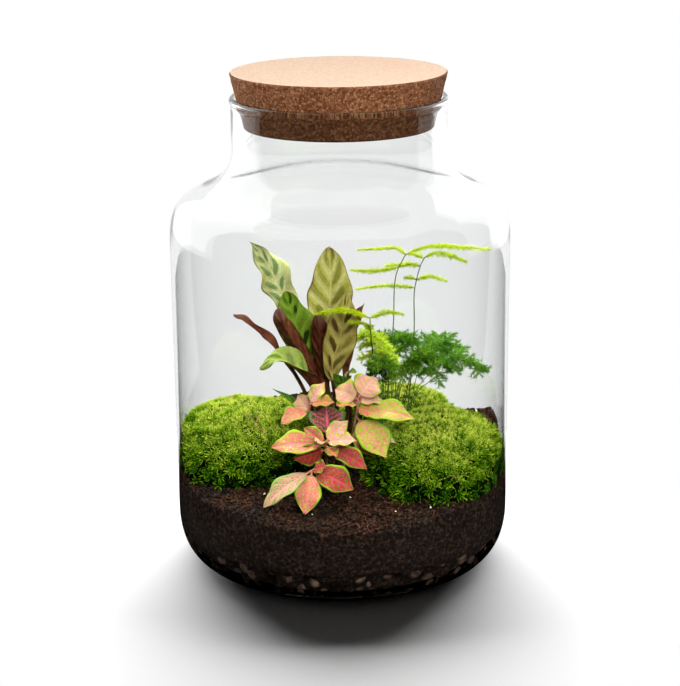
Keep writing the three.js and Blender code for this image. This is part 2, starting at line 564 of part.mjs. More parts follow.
// Low bushy fronds. A bare stem leads to the plume, whose branches go left and right of it by turns.
const bushNeedles = { from: 0, sides: [0, 1, 2], lean: 0.6, lift: 0, twist: 0.8, spacing: 3.2, length: 5.5 };
const bushBranches = { at: [0.2, 0.34, 0.52, 0.68], reach: [15, 15, 12, 11], forward: 0.7, drop: 0.12 };
const bushFronds = [
  { foot: [22, 26], plume: [[23, 23, 97], [22, 19, 110], [18, 15, 117], [12, 11, 117]], spread: 0.85 },
  { foot: [26, 16], plume: [[25, 12, 88], [23, 6, 99], [22, -2, 105], [21, -10, 103]], spread: 0.7 },
  { foot: [31, 20], plume: [[34, 16, 92], [40, 9, 104], [46, 2, 110], [51, -6, 108]], spread: 0.7 },
  { foot: [35.5, 20.2], plume: [[43, 20, 90], [56, 21, 98], [68, 20, 101], [79, 15, 98]], spread: 1 },
  { foot: [29, 27], plume: [[29, 33, 96], [30, 40, 109], [32, 48, 114], [35, 56, 112]], spread: 0.9 },
  { foot: [34, 27], plume: [[41, 32, 97], [50, 38, 110], [60, 41, 115], [70, 40, 113]], spread: 0.85 },
];

function bushFrond({ foot, plume, spread }, seed) {
  const random = randomFrom(seed);
  const { thick, thin, tip } = fernStem;
  const line = smooth(plume);
  const spine = line.getSpacedPoints(Math.round(line.getLength() / bushNeedles.spacing));
  const stem = rootedRoute(fromSoil(foot, plume[0]), 2);
  const branches = bushBranches.at.map((share, i) => {
    const root = nearestOn(spine, line.getPointAt(share));
    const along = line.getTangentAt(share);
    const outward = along.clone().cross(up).normalize().multiplyScalar(i % 2 ? 1 : -1);
    const way = outward.addScaledVector(along, bushBranches.forward).setZ(0.2).normalize();
    const reach = spread * bushBranches.reach[i];
    const middle = root.clone().addScaledVector(way, reach / 2);
    const end = root.clone().addScaledVector(way, reach).addScaledVector(up, -bushBranches.drop * reach);
    const corners = [root, middle, end].map((p) => p.toArray());
    const twig = routeOf(corners, Math.round(reach / bushNeedles.spacing));
    return twigSolid(twig, [thin, tip], 3, { ...bushNeedles, from: 1 }, random);
  });
  return mainBody(Manifold.union([
    twigSolid([...stem, spine[1]], [thick, thick], 4), twigSolid(spine, [thick, tip], 3, bushNeedles, random),
    ...branches,
  ]));
}

// Holes for the stems

// A round hole that is longer than soil and moss are deep, so it opens upwards through both
function stemHole([x, y], radius) {
  const length = 45;
  const hole = new THREE.CylinderGeometry(radius, radius, length, 6).rotateX(Math.PI / 2);
  return solidFromGeometry(hole.translate(x, y, soilHeight(x, y) - stemDepth - gap.rest + length / 2));
}

// Assembly

const finish = {
  glass: new THREE.MeshStandardMaterial({
    color: '#f2f6f5', roughness: 0.02, transparent: true, opacity: 0.3,
  }),
  cork: new THREE.MeshStandardMaterial({ color: '#8a5a3a', roughness: 0.9 }),
  clay: new THREE.MeshStandardMaterial({ color: '#4a3a33', roughness: 0.95 }),
  soil: new THREE.MeshStandardMaterial({ color: '#2a1a12', roughness: 1 }),
  moss: new THREE.MeshStandardMaterial({ color: '#6f9a1c', roughness: 0.9 }),
  prayerLeaf: new THREE.MeshStandardMaterial({ color: '#8fa044', roughness: 0.5 }),
  nerveLeaf: new THREE.MeshStandardMaterial({ color: '#e07a72', roughness: 0.55 }),
  fern: new THREE.MeshStandardMaterial({ color: '#5f9e2c', roughness: 0.7 }),
};

const terrarium = new THREE.Group();
function add(name, solid, material) {
  const mesh = new THREE.Mesh(geometryFromSolid(solid), material);
  mesh.name = name;
  terrarium.add(mesh);
}

const stemFeet = [
  ...prayerLeaves.map((leaf) => [leaf.path[0], leaf.stalk]),
  ...nerveShoots.map((shoot) => [shoot.stem[0], nerveStem.thick]),
  ...highStems.map((fern) => [fern.stem[0], fernStem.thick]),
  ...bushFronds.map((frond) => [frond.foot, fernStem.thick]),
];
const holes = Manifold.union(stemFeet.map(([foot, radius]) => stemHole(foot, radius + gap.stemHole)));
const ground = soilBody();

add('glass_jar', glassJar(), finish.glass);
add('cork_stopper', corkStopper(), finish.cork);
add('clay_pebbles', clayPebbles(), finish.clay);
add('soil', mainBody(ground.subtract(holes)), finish.soil);
cushions.forEach((cushion, i) => {
  add(cushion.name, mainBody(mossCushion(cushion, ground, 31 + i).subtract(holes)), finish.moss);
});
prayerLeaves.forEach((leaf, i) => {
  add(`prayer_leaf_${i + 1}`, leafSolid(leaf, prayerMesh), finish.prayerLeaf);
});
nerveShoots.forEach((shoot) => add(shoot.name, nerveShoot(shoot), finish.nerveLeaf));
highStems.forEach((fern, i) => add(fern.name, highStem(fern, 51 + i), finish.fern));
bushFronds.forEach((frond, i) => add(`fern_bush_${i + 1}`, bushFrond(frond, 61 + i), finish.fern));

export default terrarium;
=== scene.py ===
# Looks for a planted glass jar: clear blown glass, a granulated cork stopper, clay balls, soil, cushions of
# moss, a prayer plant, a nerve plant and an asparagus fern. Sizes are in millimetres until a mesh is made.
import math
from random import Random

import bmesh
import bpy
import numpy as np
from mathutils import Matrix, Vector, noise


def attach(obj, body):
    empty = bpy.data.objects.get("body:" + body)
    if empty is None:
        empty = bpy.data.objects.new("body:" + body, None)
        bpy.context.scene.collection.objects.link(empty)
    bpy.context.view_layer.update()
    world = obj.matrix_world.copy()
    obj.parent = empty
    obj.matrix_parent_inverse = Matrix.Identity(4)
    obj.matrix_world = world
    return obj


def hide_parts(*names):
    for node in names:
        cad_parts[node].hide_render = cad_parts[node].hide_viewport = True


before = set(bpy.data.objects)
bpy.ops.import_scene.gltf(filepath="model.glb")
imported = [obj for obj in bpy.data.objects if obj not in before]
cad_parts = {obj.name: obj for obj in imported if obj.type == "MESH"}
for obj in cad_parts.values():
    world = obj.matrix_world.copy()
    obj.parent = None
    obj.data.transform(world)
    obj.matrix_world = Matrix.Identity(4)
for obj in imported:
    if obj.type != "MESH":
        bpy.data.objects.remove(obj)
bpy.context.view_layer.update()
mm = 0.001
print("frame loaded:", len(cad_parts), "nodes")


# Nodes and materials

def linear(hexCode):
    # sRGB hex to the linear values that the nodes take
    values = [int(hexCode[i:i + 2], 16) / 255 for i in (1, 3, 5)]
    return [v / 12.92 if v <= 0.04045 else ((v + 0.055) / 1.055) ** 2.4 for v in values] + [1.0]


def feed(tree, node, links):
    for name, source in links.items():
        socket = source.outputs[0] if isinstance(source, bpy.types.Node) else source
        tree.links.new(socket, node.inputs[name])


def addNode(tree, kind, settings=None, links=None):
    # one node with its settings (properties, then sockets) and what feeds its inputs
    node = tree.nodes.new(kind)
    for name, value in (settings or {}).items():
        if name == "stops":
            ramp = node.color_ramp
            while len(ramp.elements) < len(value):
                ramp.elements.new(0.5)
            for element, (place, colour) in zip(ramp.elements, value):
                element.position = place
                element.color = linear(colour)
        elif isinstance(name, str) and hasattr(node, name):
            setattr(node, name, value)
        else:
            node.inputs[name].default_value = value
    feed(tree, node, links or {})
    return node


def newMaterial(name, settings):
    material = bpy.data.materials.new(name)
    material.use_nodes = True
    shader = material.node_tree.nodes["Principled BSDF"]
    for socket, value in settings.items():
        shader.inputs[socket].default_value = value
    return material, material.node_tree, shader


def glowing(tree, shader, colour, share):
    # light that comes through a thin leaf
    glow = addNode(tree, "ShaderNodeBsdfTranslucent", {}, {"Color": colour})
    mixed = addNode(tree, "ShaderNodeMixShader", {0: share}, {1: shader, 2: glow})
    feed(tree, tree.nodes["Material Output"], {"Surface": mixed})


def blownGlass():
    # soda-lime glass, blown and fire-polished: almost no colour, sharp reflections. It lets lamps through,
    # so that what stands in the jar is lit. Its IOR is a little under that of real glass, which keeps the
    # far shoulder as pale as it looks.
    material, tree, shader = newMaterial("soda-lime glass, blown", {
        "Base Color": linear("#f9fafa"), "Roughness": 0.0, "IOR": 1.42, "Transmission Weight": 1.0,
    })
    path = addNode(tree, "ShaderNodeLightPath")
    lampRay = addNode(tree, "ShaderNodeMath", {"operation": "MAXIMUM"},
                      {0: path.outputs["Is Shadow Ray"], 1: path.outputs["Is Diffuse Ray"]})
    through = addNode(tree, "ShaderNodeBsdfTransparent", {"Color": linear("#f4f6f6")})
    mixed = addNode(tree, "ShaderNodeMixShader", {}, {0: lampRay, 1: shader, 2: through})
    feed(tree, tree.nodes["Material Output"], {"Surface": mixed})
    return material


def corkBoard(name, stops, creviceDepth):
    # granulated cork, pressed and glued: grains of about 1 mm, each its own brown, dark where they meet;
    # the stopper is darker from the lip of the jar down
    material, tree, shader = newMaterial(name, {"Roughness": 0.9})
    place = addNode(tree, "ShaderNodeTexCoord").outputs["Object"]
    bent = addNode(tree, "ShaderNodeTexNoise", {"Scale": 1300, "Detail": 2}, {"Vector": place})
    shifted = addNode(tree, "ShaderNodeMix", {"data_type": "VECTOR", "Factor": 0.0006},
                      {4: place, 5: bent.outputs["Color"]})
    grain = addNode(tree, "ShaderNodeTexVoronoi", {"Scale": 950}, {"Vector": shifted.outputs[1]})
    border = addNode(tree, "ShaderNodeTexVoronoi", {"feature": "DISTANCE_TO_EDGE", "Scale": 950},
                     {"Vector": shifted.outputs[1]})
    fine = addNode(tree, "ShaderNodeTexNoise", {"Scale": 2600, "Detail": 3}, {"Vector": place})
    hue = addNode(tree, "ShaderNodeSeparateColor", {}, {"Color": grain.outputs["Color"]})
    mixed = addNode(tree, "ShaderNodeMath", {"operation": "MULTIPLY_ADD", 1: 0.5, 2: 0.08}, {0: fine})
    shade = addNode(tree, "ShaderNodeMath", {"operation": "MULTIPLY_ADD", 1: 0.4}, {0: hue, 2: mixed})
    colour = addNode(tree, "ShaderNodeValToRGB", {"stops": stops}, {"Fac": shade})
    crevice = addNode(tree, "ShaderNodeMapRange", {"From Max": 0.12, "To Min": creviceDepth},
                      {"Value": border})
    level = addNode(tree, "ShaderNodeSeparateXYZ", {}, {"Vector": place}).outputs["Z"]
    # darker from the lip of the jar, at 257 mm, down to 252 mm and below
    damp = addNode(tree, "ShaderNodeMapRange", {"From Min": 0.252, "From Max": 0.257, "To Min": 0.55},
                   {"Value": level})
    shaded = addNode(tree, "ShaderNodeMath", {"operation": "MULTIPLY"}, {0: crevice, 1: damp})
    dark = addNode(tree, "ShaderNodeMix", {"data_type": "RGBA", "blend_type": "MULTIPLY", "Factor": 1.0},
                   {6: colour, 7: shaded})
    height = addNode(tree, "ShaderNodeMath", {"operation": "MULTIPLY_ADD", 1: 0.5}, {0: crevice, 2: fine})
    bump = addNode(tree, "ShaderNodeBump", {"Strength": 0.7, "Distance": 0.0004}, {"Height": height})
    feed(tree, shader, {"Base Color": dark.outputs[2], "Normal": bump})
    return material


def firedClay():
    # expanded clay balls, fired: a matt brown skin with paler patches, darker where soil lies on it
    material, tree, shader = newMaterial("expanded clay, fired", {"Roughness": 0.92})
    place = addNode(tree, "ShaderNodeTexCoord").outputs["Object"]
    patches = addNode(tree, "ShaderNodeTexNoise", {"Scale": 260, "Detail": 5}, {"Vector": place})
    buried = addNode(tree, "ShaderNodeTexNoise", {"Scale": 45, "Detail": 2}, {"Vector": place})
    colour = addNode(tree, "ShaderNodeValToRGB", {"stops": [
        (0.3, "#261c17"), (0.5, "#523f34"), (0.72, "#7c6454")]}, {"Fac": patches})
    soiled = addNode(tree, "ShaderNodeMapRange", {"From Min": 0.42, "From Max": 0.6, "To Min": 0.6},
                     {"Value": buried})
    dark = addNode(tree, "ShaderNodeMix", {"data_type": "RGBA", "blend_type": "MULTIPLY", "Factor": 1.0},
                   {6: colour, 7: soiled})
    grit = addNode(tree, "ShaderNodeTexNoise", {"Scale": 1500, "Detail": 3}, {"Vector": place})
    bump = addNode(tree, "ShaderNodeBump", {"Strength": 0.6, "Distance": 0.0003}, {"Height": grit})
    feed(tree, shader, {"Base Color": dark.outputs[2], "Normal": bump})
    return material


def pottingSoil(name, top):
    # damp peat soil: almost black where it is pressed to the glass, browner and fibrous where it lies open
    material, tree, shader = newMaterial(name, {"Roughness": 0.95, "Specular IOR Level": 0.25})
    place = addNode(tree, "ShaderNodeTexCoord").outputs["Object"]
    crumbs = addNode(tree, "ShaderNodeTexNoise", {"Scale": 520, "Detail": 6, "Roughness": 0.7},
                     {"Vector": place})
    areas = addNode(tree, "ShaderNodeTexNoise", {"Scale": 38, "Detail": 3}, {"Vector": place})
    height = addNode(tree, "ShaderNodeSeparateXYZ", {}, {"Vector": place}).outputs["Z"]
    exposed = addNode(tree, "ShaderNodeMapRange", {"From Min": 0.032, "From Max": 0.048}, {"Value": height})
    black = addNode(tree, "ShaderNodeValToRGB", {"stops": [
        (0.38, "#0b0807"), (0.52, "#1f1814"), (0.7, "#4a3a30")]}, {"Fac": crumbs})
    brown = addNode(tree, "ShaderNodeValToRGB", {"stops": [
        (0.38, "#070403"), (0.52, top), (0.7, "#6b4832")]}, {"Fac": crumbs})
    patch = addNode(tree, "ShaderNodeMapRange", {"From Min": 0.35, "From Max": 0.65}, {"Value": areas})
    share = addNode(tree, "ShaderNodeMath", {"operation": "MULTIPLY"}, {0: exposed, 1: patch})
    colour = addNode(tree, "ShaderNodeMix", {"data_type": "RGBA"}, {0: share, 6: black, 7: brown})
    bump = addNode(tree, "ShaderNodeBump", {"Strength": 0.9, "Distance": 0.0008}, {"Height": crumbs})
    feed(tree, shader, {"Base Color": colour.outputs[2], "Normal": bump})
    return material


def mossLeaf(name, stops):
    # cushion moss: each leaf is translucent, yellow at its tip and deep green at its foot, and the shoots
    # on top of a cushion are painted the yellowest and lightest, a painted light
    material, tree, shader = newMaterial(name, {"Roughness": 0.6, "Specular IOR Level": 0.15})
    tip, tint, sun = (addNode(tree, "ShaderNodeAttribute", {"attribute_name": name}).outputs["Fac"]
                      for name in ("tip", "tint", "sun"))
    place = addNode(tree, "ShaderNodeTexCoord").outputs["Object"]
    areas = addNode(tree, "ShaderNodeTexNoise", {"Scale": 75, "Detail": 3}, {"Vector": place})
    height = addNode(tree, "ShaderNodeMath", {"operation": "MULTIPLY_ADD", 1: 0.55, 2: -0.41}, {0: tip})
    some = addNode(tree, "ShaderNodeMath", {"operation": "MULTIPLY_ADD", 1: 0.5}, {0: tint, 2: height})
    # painted light: this share makes the tops of the cushions yellower and lighter, the low sides darker
    # green
    withPaintedLight = addNode(tree, "ShaderNodeMath", {"operation": "MULTIPLY_ADD", 1: 0.45}, {0: sun, 2: some})
    share = addNode(tree, "ShaderNodeMath", {"operation": "MULTIPLY_ADD", 1: 0.35}, {0: areas, 2: withPaintedLight})
    colour = addNode(tree, "ShaderNodeValToRGB", {"stops": stops}, {"Fac": share})
    feed(tree, shader, {"Base Color": colour})
    glowing(tree, shader, colour, 0.25)
    return material


def plainTint(name, stops, settings):
    # a stem, twig or grain: one family of colours, varied along the object
    material, tree, shader = newMaterial(name, settings)
    place = addNode(tree, "ShaderNodeTexCoord").outputs["Object"]
    areas = addNode(tree, "ShaderNodeTexNoise", {"Scale": 160, "Detail": 4}, {"Vector": place})
    colour = addNode(tree, "ShaderNodeValToRGB", {"stops": stops}, {"Fac": areas})
    bump = addNode(tree, "ShaderNodeBump", {"Strength": 0.3, "Distance": 0.0002}, {"Height": areas})
    feed(tree, shader, {"Base Color": colour, "Normal": bump})
    return material


def fernNeedle(name, stops):
    # soft fern needles: thin enough to glow, each a little lighter or darker than its neighbour
    material, tree, shader = newMaterial(name, {"Roughness": 0.75, "Specular IOR Level": 0.12})
    tint = addNode(tree, "ShaderNodeAttribute", {"attribute_name": "tint"}).outputs["Fac"]
    place = addNode(tree, "ShaderNodeTexCoord").outputs["Object"]
    areas = addNode(tree, "ShaderNodeTexNoise", {"Scale": 90, "Detail": 2}, {"Vector": place})
    some = addNode(tree, "ShaderNodeMath", {"operation": "MULTIPLY_ADD", 1: 0.8, 2: -0.15}, {0: areas})
    share = addNode(tree, "ShaderNodeMath", {"operation": "MULTIPLY_ADD", 1: 0.5}, {0: tint, 2: some})
    colour = addNode(tree, "ShaderNodeValToRGB", {"stops": stops}, {"Fac": share})
    feed(tree, shader, {"Base Color": colour})
    glowing(tree, shader, colour, 0.3)
    return material


# Geometry Nodes trees

def newTree(name, inputs):
    # a tree from geometry to geometry with named inputs; returns it and what its inputs give
    tree = bpy.data.node_groups.new(name, "GeometryNodeTree")
    tree.interface.new_socket(name="Geometry", in_out="INPUT", socket_type="NodeSocketGeometry")
    tree.interface.new_socket(name="Geometry", in_out="OUTPUT", socket_type="NodeSocketGeometry")
    for title, kind in inputs.items():
        tree.interface.new_socket(name=title, in_out="INPUT", socket_type="NodeSocket" + kind)
    return tree, tree.nodes.new("NodeGroupInput").outputs


def finishCopies(tree, given, copies, material="Material"):
    # a random tint for each copy, then real geometry with its material
    chance = addNode(tree, "FunctionNodeRandomValue", {"data_type": "FLOAT"}, {"Seed": given["Seed"]})
    tinted = addNode(tree, "GeometryNodeStoreNamedAttribute",
                     {"data_type": "FLOAT", "domain": "INSTANCE", "Name": "tint"},
                     {"Geometry": copies, "Value": chance.outputs[1]})
    solid = addNode(tree, "GeometryNodeRealizeInstances", {}, {"Geometry": tinted})
    return addNode(tree, "GeometryNodeSetMaterial", {}, {"Geometry": solid, "Material": given[material]})


def coverTree():
    # spreads a small item evenly over a surface, as densely as its attribute "grow" and as large as its
    # attribute "size" say
    tree, given = newTree("cover", {
        "Spacing": "Float", "Density": "Float", "Item": "Object", "Smallest": "Float", "Largest": "Float",
        "Tilt": "Float", "Seed": "Int", "Material": "Material",
    })
    grow = addNode(tree, "GeometryNodeInputNamedAttribute", {"data_type": "FLOAT", "Name": "grow"})
    spots = addNode(tree, "GeometryNodeDistributePointsOnFaces", {"distribute_method": "POISSON"}, {
        "Mesh": given["Geometry"], "Distance Min": given["Spacing"], "Density Max": given["Density"],
        "Density Factor": grow.outputs["Attribute"], "Seed": given["Seed"],
    })
    back = addNode(tree, "ShaderNodeMath", {"operation": "MULTIPLY", 1: -1.0}, {0: given["Tilt"]})
    least = addNode(tree, "ShaderNodeCombineXYZ", {}, {"X": back, "Y": back})
    most = addNode(tree, "ShaderNodeCombineXYZ", {"Z": 2 * math.pi},
                   {"X": given["Tilt"], "Y": given["Tilt"]})
    turn = addNode(tree, "FunctionNodeRandomValue", {"data_type": "FLOAT_VECTOR"},
                   {"Min": least, "Max": most, "Seed": given["Seed"]})
    turned = addNode(tree, "FunctionNodeRotateRotation", {"rotation_space": "LOCAL"},
                     {"Rotation": spots.outputs["Rotation"], "Rotate By": turn})
    size = addNode(tree, "FunctionNodeRandomValue", {"data_type": "FLOAT"},
                   {2: given["Smallest"], 3: given["Largest"], "Seed": given["Seed"]})
    large = addNode(tree, "GeometryNodeInputNamedAttribute", {"data_type": "FLOAT", "Name": "size"})
    sized = addNode(tree, "ShaderNodeMath", {"operation": "MULTIPLY"},
                    {0: size.outputs[1], 1: large.outputs["Attribute"]})
    item = addNode(tree, "GeometryNodeObjectInfo", {"As Instance": True}, {"Object": given["Item"]})
    copies = addNode(tree, "GeometryNodeInstanceOnPoints", {}, {
        "Points": spots, "Instance": item.outputs["Geometry"], "Rotation": turned, "Scale": sized,
    })
    addNode(tree, "NodeGroupOutput", {}, {"Geometry": finishCopies(tree, given, copies)})
    return tree


def placeTree():
    # puts an item on every vertex, as large as the vertex's attribute "size" says
    tree, given = newTree("place", {"Item": "Object", "Seed": "Int", "Material": "Material"})
    size = addNode(tree, "GeometryNodeInputNamedAttribute", {"data_type": "FLOAT", "Name": "size"})
    turn = addNode(tree, "FunctionNodeRandomValue", {"data_type": "FLOAT_VECTOR", 1: [2 * math.pi] * 3},
                   {"Seed": given["Seed"]})
    item = addNode(tree, "GeometryNodeObjectInfo", {"As Instance": True}, {"Object": given["Item"]})
    copies = addNode(tree, "GeometryNodeInstanceOnPoints", {}, {
        "Points": given["Geometry"], "Instance": item.outputs["Geometry"], "Rotation": turn,
        "Scale": size.outputs["Attribute"],
    })
    addNode(tree, "NodeGroupOutput", {}, {"Geometry": finishCopies(tree, given, copies)})
    return tree


def twigTree():
    # turns edges into thin twigs, and sets needles round them
    tree, given = newTree("twigs", {
        "Spacing": "Float", "Needles": "Int", "Length": "Float", "Width": "Float", "Lean": "Float",
        "Seed": "Int", "Twig material": "Material", "Needle material": "Material",
    })
    thickness, needled = (
        addNode(tree, "GeometryNodeInputNamedAttribute", {"data_type": "FLOAT", "Name": name})
        for name in ("thickness", "needled"))
    lines = addNode(tree, "GeometryNodeMeshToCurve", {}, {"Mesh": given["Geometry"]})
    circle = addNode(tree, "GeometryNodeCurvePrimitiveCircle", {"Resolution": 4, "Radius": 1.0})
    tubes = addNode(tree, "GeometryNodeCurveToMesh", {"Fill Caps": True},
                    {"Curve": lines, "Profile Curve": circle, "Scale": thickness.outputs["Attribute"]})
    bark = addNode(tree, "GeometryNodeSetMaterial", {},
                   {"Geometry": tubes, "Material": given["Twig material"]})
    bare = addNode(tree, "FunctionNodeCompare", {"data_type": "FLOAT", "operation": "LESS_THAN", 1: 0.5},
                   {0: needled.outputs["Attribute"]})
    leafy = addNode(tree, "GeometryNodeDeleteGeometry", {"domain": "CURVE"},
                    {"Geometry": lines, "Selection": bare})
    spots = addNode(tree, "GeometryNodeCurveToPoints", {"mode": "LENGTH"},
                    {"Curve": leafy, "Length": given["Spacing"]})
    many = addNode(tree, "GeometryNodeDuplicateElements", {"domain": "POINT"},
                   {"Geometry": spots.outputs["Points"], "Amount": given["Needles"]})
    least, most = (
        addNode(tree, "ShaderNodeCombineXYZ", {}, {
            "X": addNode(tree, "ShaderNodeMath", {"operation": "MULTIPLY", 1: share}, {0: given["Lean"]})})
        for share in (0.6, 1.4))
    lean = addNode(tree, "FunctionNodeRandomValue", {"data_type": "FLOAT_VECTOR"},
                   {"Min": least, "Max": most, "Seed": given["Seed"]})
    spin = addNode(tree, "FunctionNodeRandomValue", {"data_type": "FLOAT_VECTOR", 1: [0, 0, 2 * math.pi]},
                   {"Seed": given["Seed"]})
    spun = addNode(tree, "FunctionNodeRotateRotation", {"rotation_space": "LOCAL"},
                   {"Rotation": spots.outputs["Rotation"], "Rotate By": spin})
    leaning = addNode(tree, "FunctionNodeRotateRotation", {"rotation_space": "LOCAL"},
                      {"Rotation": spun, "Rotate By": lean})
    needle = addNode(tree, "GeometryNodeMeshCone", {"Vertices": 3, "Radius Top": 0.0},
                     {"Radius Bottom": given["Width"], "Depth": given["Length"]})
    size = addNode(tree, "FunctionNodeRandomValue", {"data_type": "FLOAT", 2: 0.6, 3: 1.15},
                   {"Seed": given["Seed"]})
    copies = addNode(tree, "GeometryNodeInstanceOnPoints", {}, {
        "Points": many, "Instance": needle, "Rotation": leaning, "Scale": size.outputs[1],
    })
    needles = finishCopies(tree, given, copies, "Needle material")
    both = addNode(tree, "GeometryNodeJoinGeometry", {}, {"Geometry": needles})
    feed(tree, both, {"Geometry": bark})
    addNode(tree, "NodeGroupOutput", {}, {"Geometry": both})
    return tree


def linked(name, data):
    thing = bpy.data.objects.new(name, data)
    bpy.context.scene.collection.objects.link(thing)
    return thing


def grown(name, base, tree, inputs):
    # runs a tree on a mesh and keeps the result as a plain mesh
    host = linked(name + "_host", base)
    modifier = host.modifiers.new(name, "NODES")
    modifier.node_group = tree
    for item in tree.interface.items_tree:
        if item.in_out == "INPUT" and item.name in inputs:
            modifier[item.identifier] = inputs[item.name]
    graph = bpy.context.evaluated_depsgraph_get()
    mesh = bpy.data.meshes.new_from_object(host.evaluated_get(graph), depsgraph=graph)
    bpy.data.objects.remove(host)
    return mesh


# Meshes

def meshOf(name, points, faces, materials=(), edges=()):
    # a mesh in metres from points in millimetres
    mesh = bpy.data.meshes.new(name)
    mesh.from_pydata((np.array(points, float).reshape(-1, 3) * mm).tolist(), list(edges), faces)
    for material in materials:
        mesh.materials.append(material)
    mesh.validate()
    return mesh


def setAttribute(mesh, name, values):
    layer = mesh.attributes.new(name, "FLOAT", "POINT")
    layer.data.foreach_set("value", np.array(values, np.float32))


def joined(name, meshes):
    # one mesh from several, with their materials kept
    things = [linked(f"{name}_{i}", mesh) for i, mesh in enumerate(meshes)]
    with bpy.context.temp_override(active_object=things[0], selected_editable_objects=things):
        bpy.ops.object.join()
    mesh = things[0].data
    bpy.data.objects.remove(things[0])
    return mesh


def keepPiece(name, mesh, slot, nodes=(), smooth=True):
    # the finished piece: shaded, riding on the part and standing for its nodes
    mesh.name = name
    if smooth:
        mesh.shade_smooth()
    else:
        mesh.shade_flat()
    piece = linked(name, mesh)
    if nodes:
        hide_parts(*nodes)
    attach(piece, "root")
    litBy["part"].objects.link(piece)
    if slot != "glass":
        litBy["cork" if slot == "cork" else "plants"].objects.link(piece)
    if slot in ("soil", "moss", "clay"):
        litBy["ground"].objects.link(piece)
    mesh.calc_loop_triangles()
    print(name, len(mesh.loop_triangles), "triangles")
    return piece


def lathe(profile, segments):
    # closed turned shape: a profile that starts and ends on the axis
    inner = profile[1:-1]
    points = [(r * math.cos(a), r * math.sin(a), z) for r, z in inner
              for a in (2 * math.pi * i / segments for i in range(segments))]
    start, end = len(points), len(points) + 1
    points += [(0, 0, profile[0][1]), (0, 0, profile[-1][1])]
    faces = []
    for i in range(segments):
        j = (i + 1) % segments
        faces.append((start, j, i))
        for row in range(0, (len(inner) - 1) * segments, segments):
            faces.append((row + i, row + j, row + segments + j, row + segments + i))
        last = (len(inner) - 1) * segments
        faces.append((end, last + i, last + j))
    return points, faces


def lerp(a, b, t):
    return a + (b - a) * t


def bezier(corners, steps):
    curve = []
    for i in range(steps + 1):
        t = i / steps
        weights = ((1 - t) ** 3, 3 * t * (1 - t) ** 2, 3 * t * t * (1 - t), t ** 3)
        curve.append(tuple(sum(w * c[k] for w, c in zip(weights, corners)) for k in (0, 1)))
    return curve


def curveAt(points, t):
    # Catmull-Rom curve through the points, t from 0 to 1
    place = min(max(t, 0.0), 1.0) * (len(points) - 1)
    i = min(int(place), len(points) - 2)
    w = place - i
    before = points[i - 1] if i else points[0] * 2 - points[1]
    after = points[i + 2] if i + 2 < len(points) else points[-1] * 2 - points[-2]
    outward, inward = (points[i + 1] - before) / 2, (after - points[i]) / 2
    return ((2 * w ** 3 - 3 * w ** 2 + 1) * points[i] + (w ** 3 - 2 * w ** 2 + w) * outward
            + (-2 * w ** 3 + 3 * w ** 2) * points[i + 1] + (w ** 3 - w ** 2) * inward)


def wayAt(points, t):
    step = 1e-4
    return (curveAt(points, min(1, t + step)) - curveAt(points, max(0, t - step))).normalized()


def spaced(points, steps):
    # evenly spaced points along the curve
    fine = [curveAt(points, i / 200) for i in range(201)]
    lengths = np.concatenate([[0], np.cumsum([(b - a).length for a, b in zip(fine, fine[1:])])])
    wanted = np.linspace(0, lengths[-1], steps + 1)
    return [Vector([np.interp(w, lengths, [p[k] for p in fine]) for k in range(3)]) for w in wanted]


def lengthOf(points):
    return sum((b - a).length for a, b in zip(points, points[1:]))


def nearestOn(route, target):
    best = None
    for a, b in zip(route, route[1:]):
        share = min(1, max(0, (target - a).dot(b - a) / (b - a).length_squared))
        spot = a.lerp(b, share)
        if best is None or (spot - target).length < (best - target).length:
            best = spot
    return best


# Camera, lights and floor

# Lens, sensor and shift as Blender's camera has them, position and clipping in metres, tilt down and roll
# in degrees
view = {
    "lens": 92.52, "sensor": 36, "shift": -0.0015, "position": (0, -0.9358, 0.404), "near": 0.05, "far": 20,
    "tilt": 16.93, "roll": -0.55,
}


def addCamera():
    camera = linked("camera", bpy.data.cameras.new("camera"))
    camera.data.lens = view["lens"]
    camera.data.sensor_width = view["sensor"]
    camera.data.shift_x = view["shift"]
    camera.data.clip_start = view["near"]
    camera.data.clip_end = view["far"]
    tilt = Matrix.Rotation(math.radians(90 - view["tilt"]), 4, "X")
    roll = Matrix.Rotation(math.radians(view["roll"]), 4, "Z")
    camera.matrix_world = Matrix.Translation(view["position"]) @ tilt @ roll
    bpy.context.scene.camera = camera
    return camera


# A lamp: direction to it in degrees (0 is the front, 90 the right), elevation, distance, width and height
# in metres, brightness, whether the glass shows it, and what it lights
lamps = {
    "left_softbox": [-123, 27, 0.85, 0.98, 1.1, 1.1, True, "part"],
    "right_softbox": [140, 20, 0.85, 0.8, 0.9, 1.05, True, "part"],
    "back_strip": [180, 59, 0.9, 0.34, 0.035, 3.0, True, "part"],
    "floor_lamp": [180, 34, 3.0, 3.6, 1.4, 10.4, False, "floor"],
    "low_floor_lamp": [180, 13, 3.0, 4.6, 0.5, 47.0, False, "floor"],
    "back_lamp": [175, 50, 1.0, 0.6, 0.6, 20.0, False, "plants"],
    "top_lamp": [200, 75, 0.9, 0.7, 0.7, 26.0, False, "plants"],
    "front_lamp": [20, 36, 0.95, 0.6, 0.6, 13.0, False, "part"],
    "cork_lamp": [-100, 8, 0.9, 0.3, 0.3, 34.0, False, "cork"],
}
lampTarget = Vector((0, 0, 0.12))
# what a lamp lights, and the ground in the jar, which alone throws a shadow on the floor
litBy = {name: bpy.data.collections.new("lit_" + name)
         for name in ("part", "plants", "cork", "floor", "ground")}


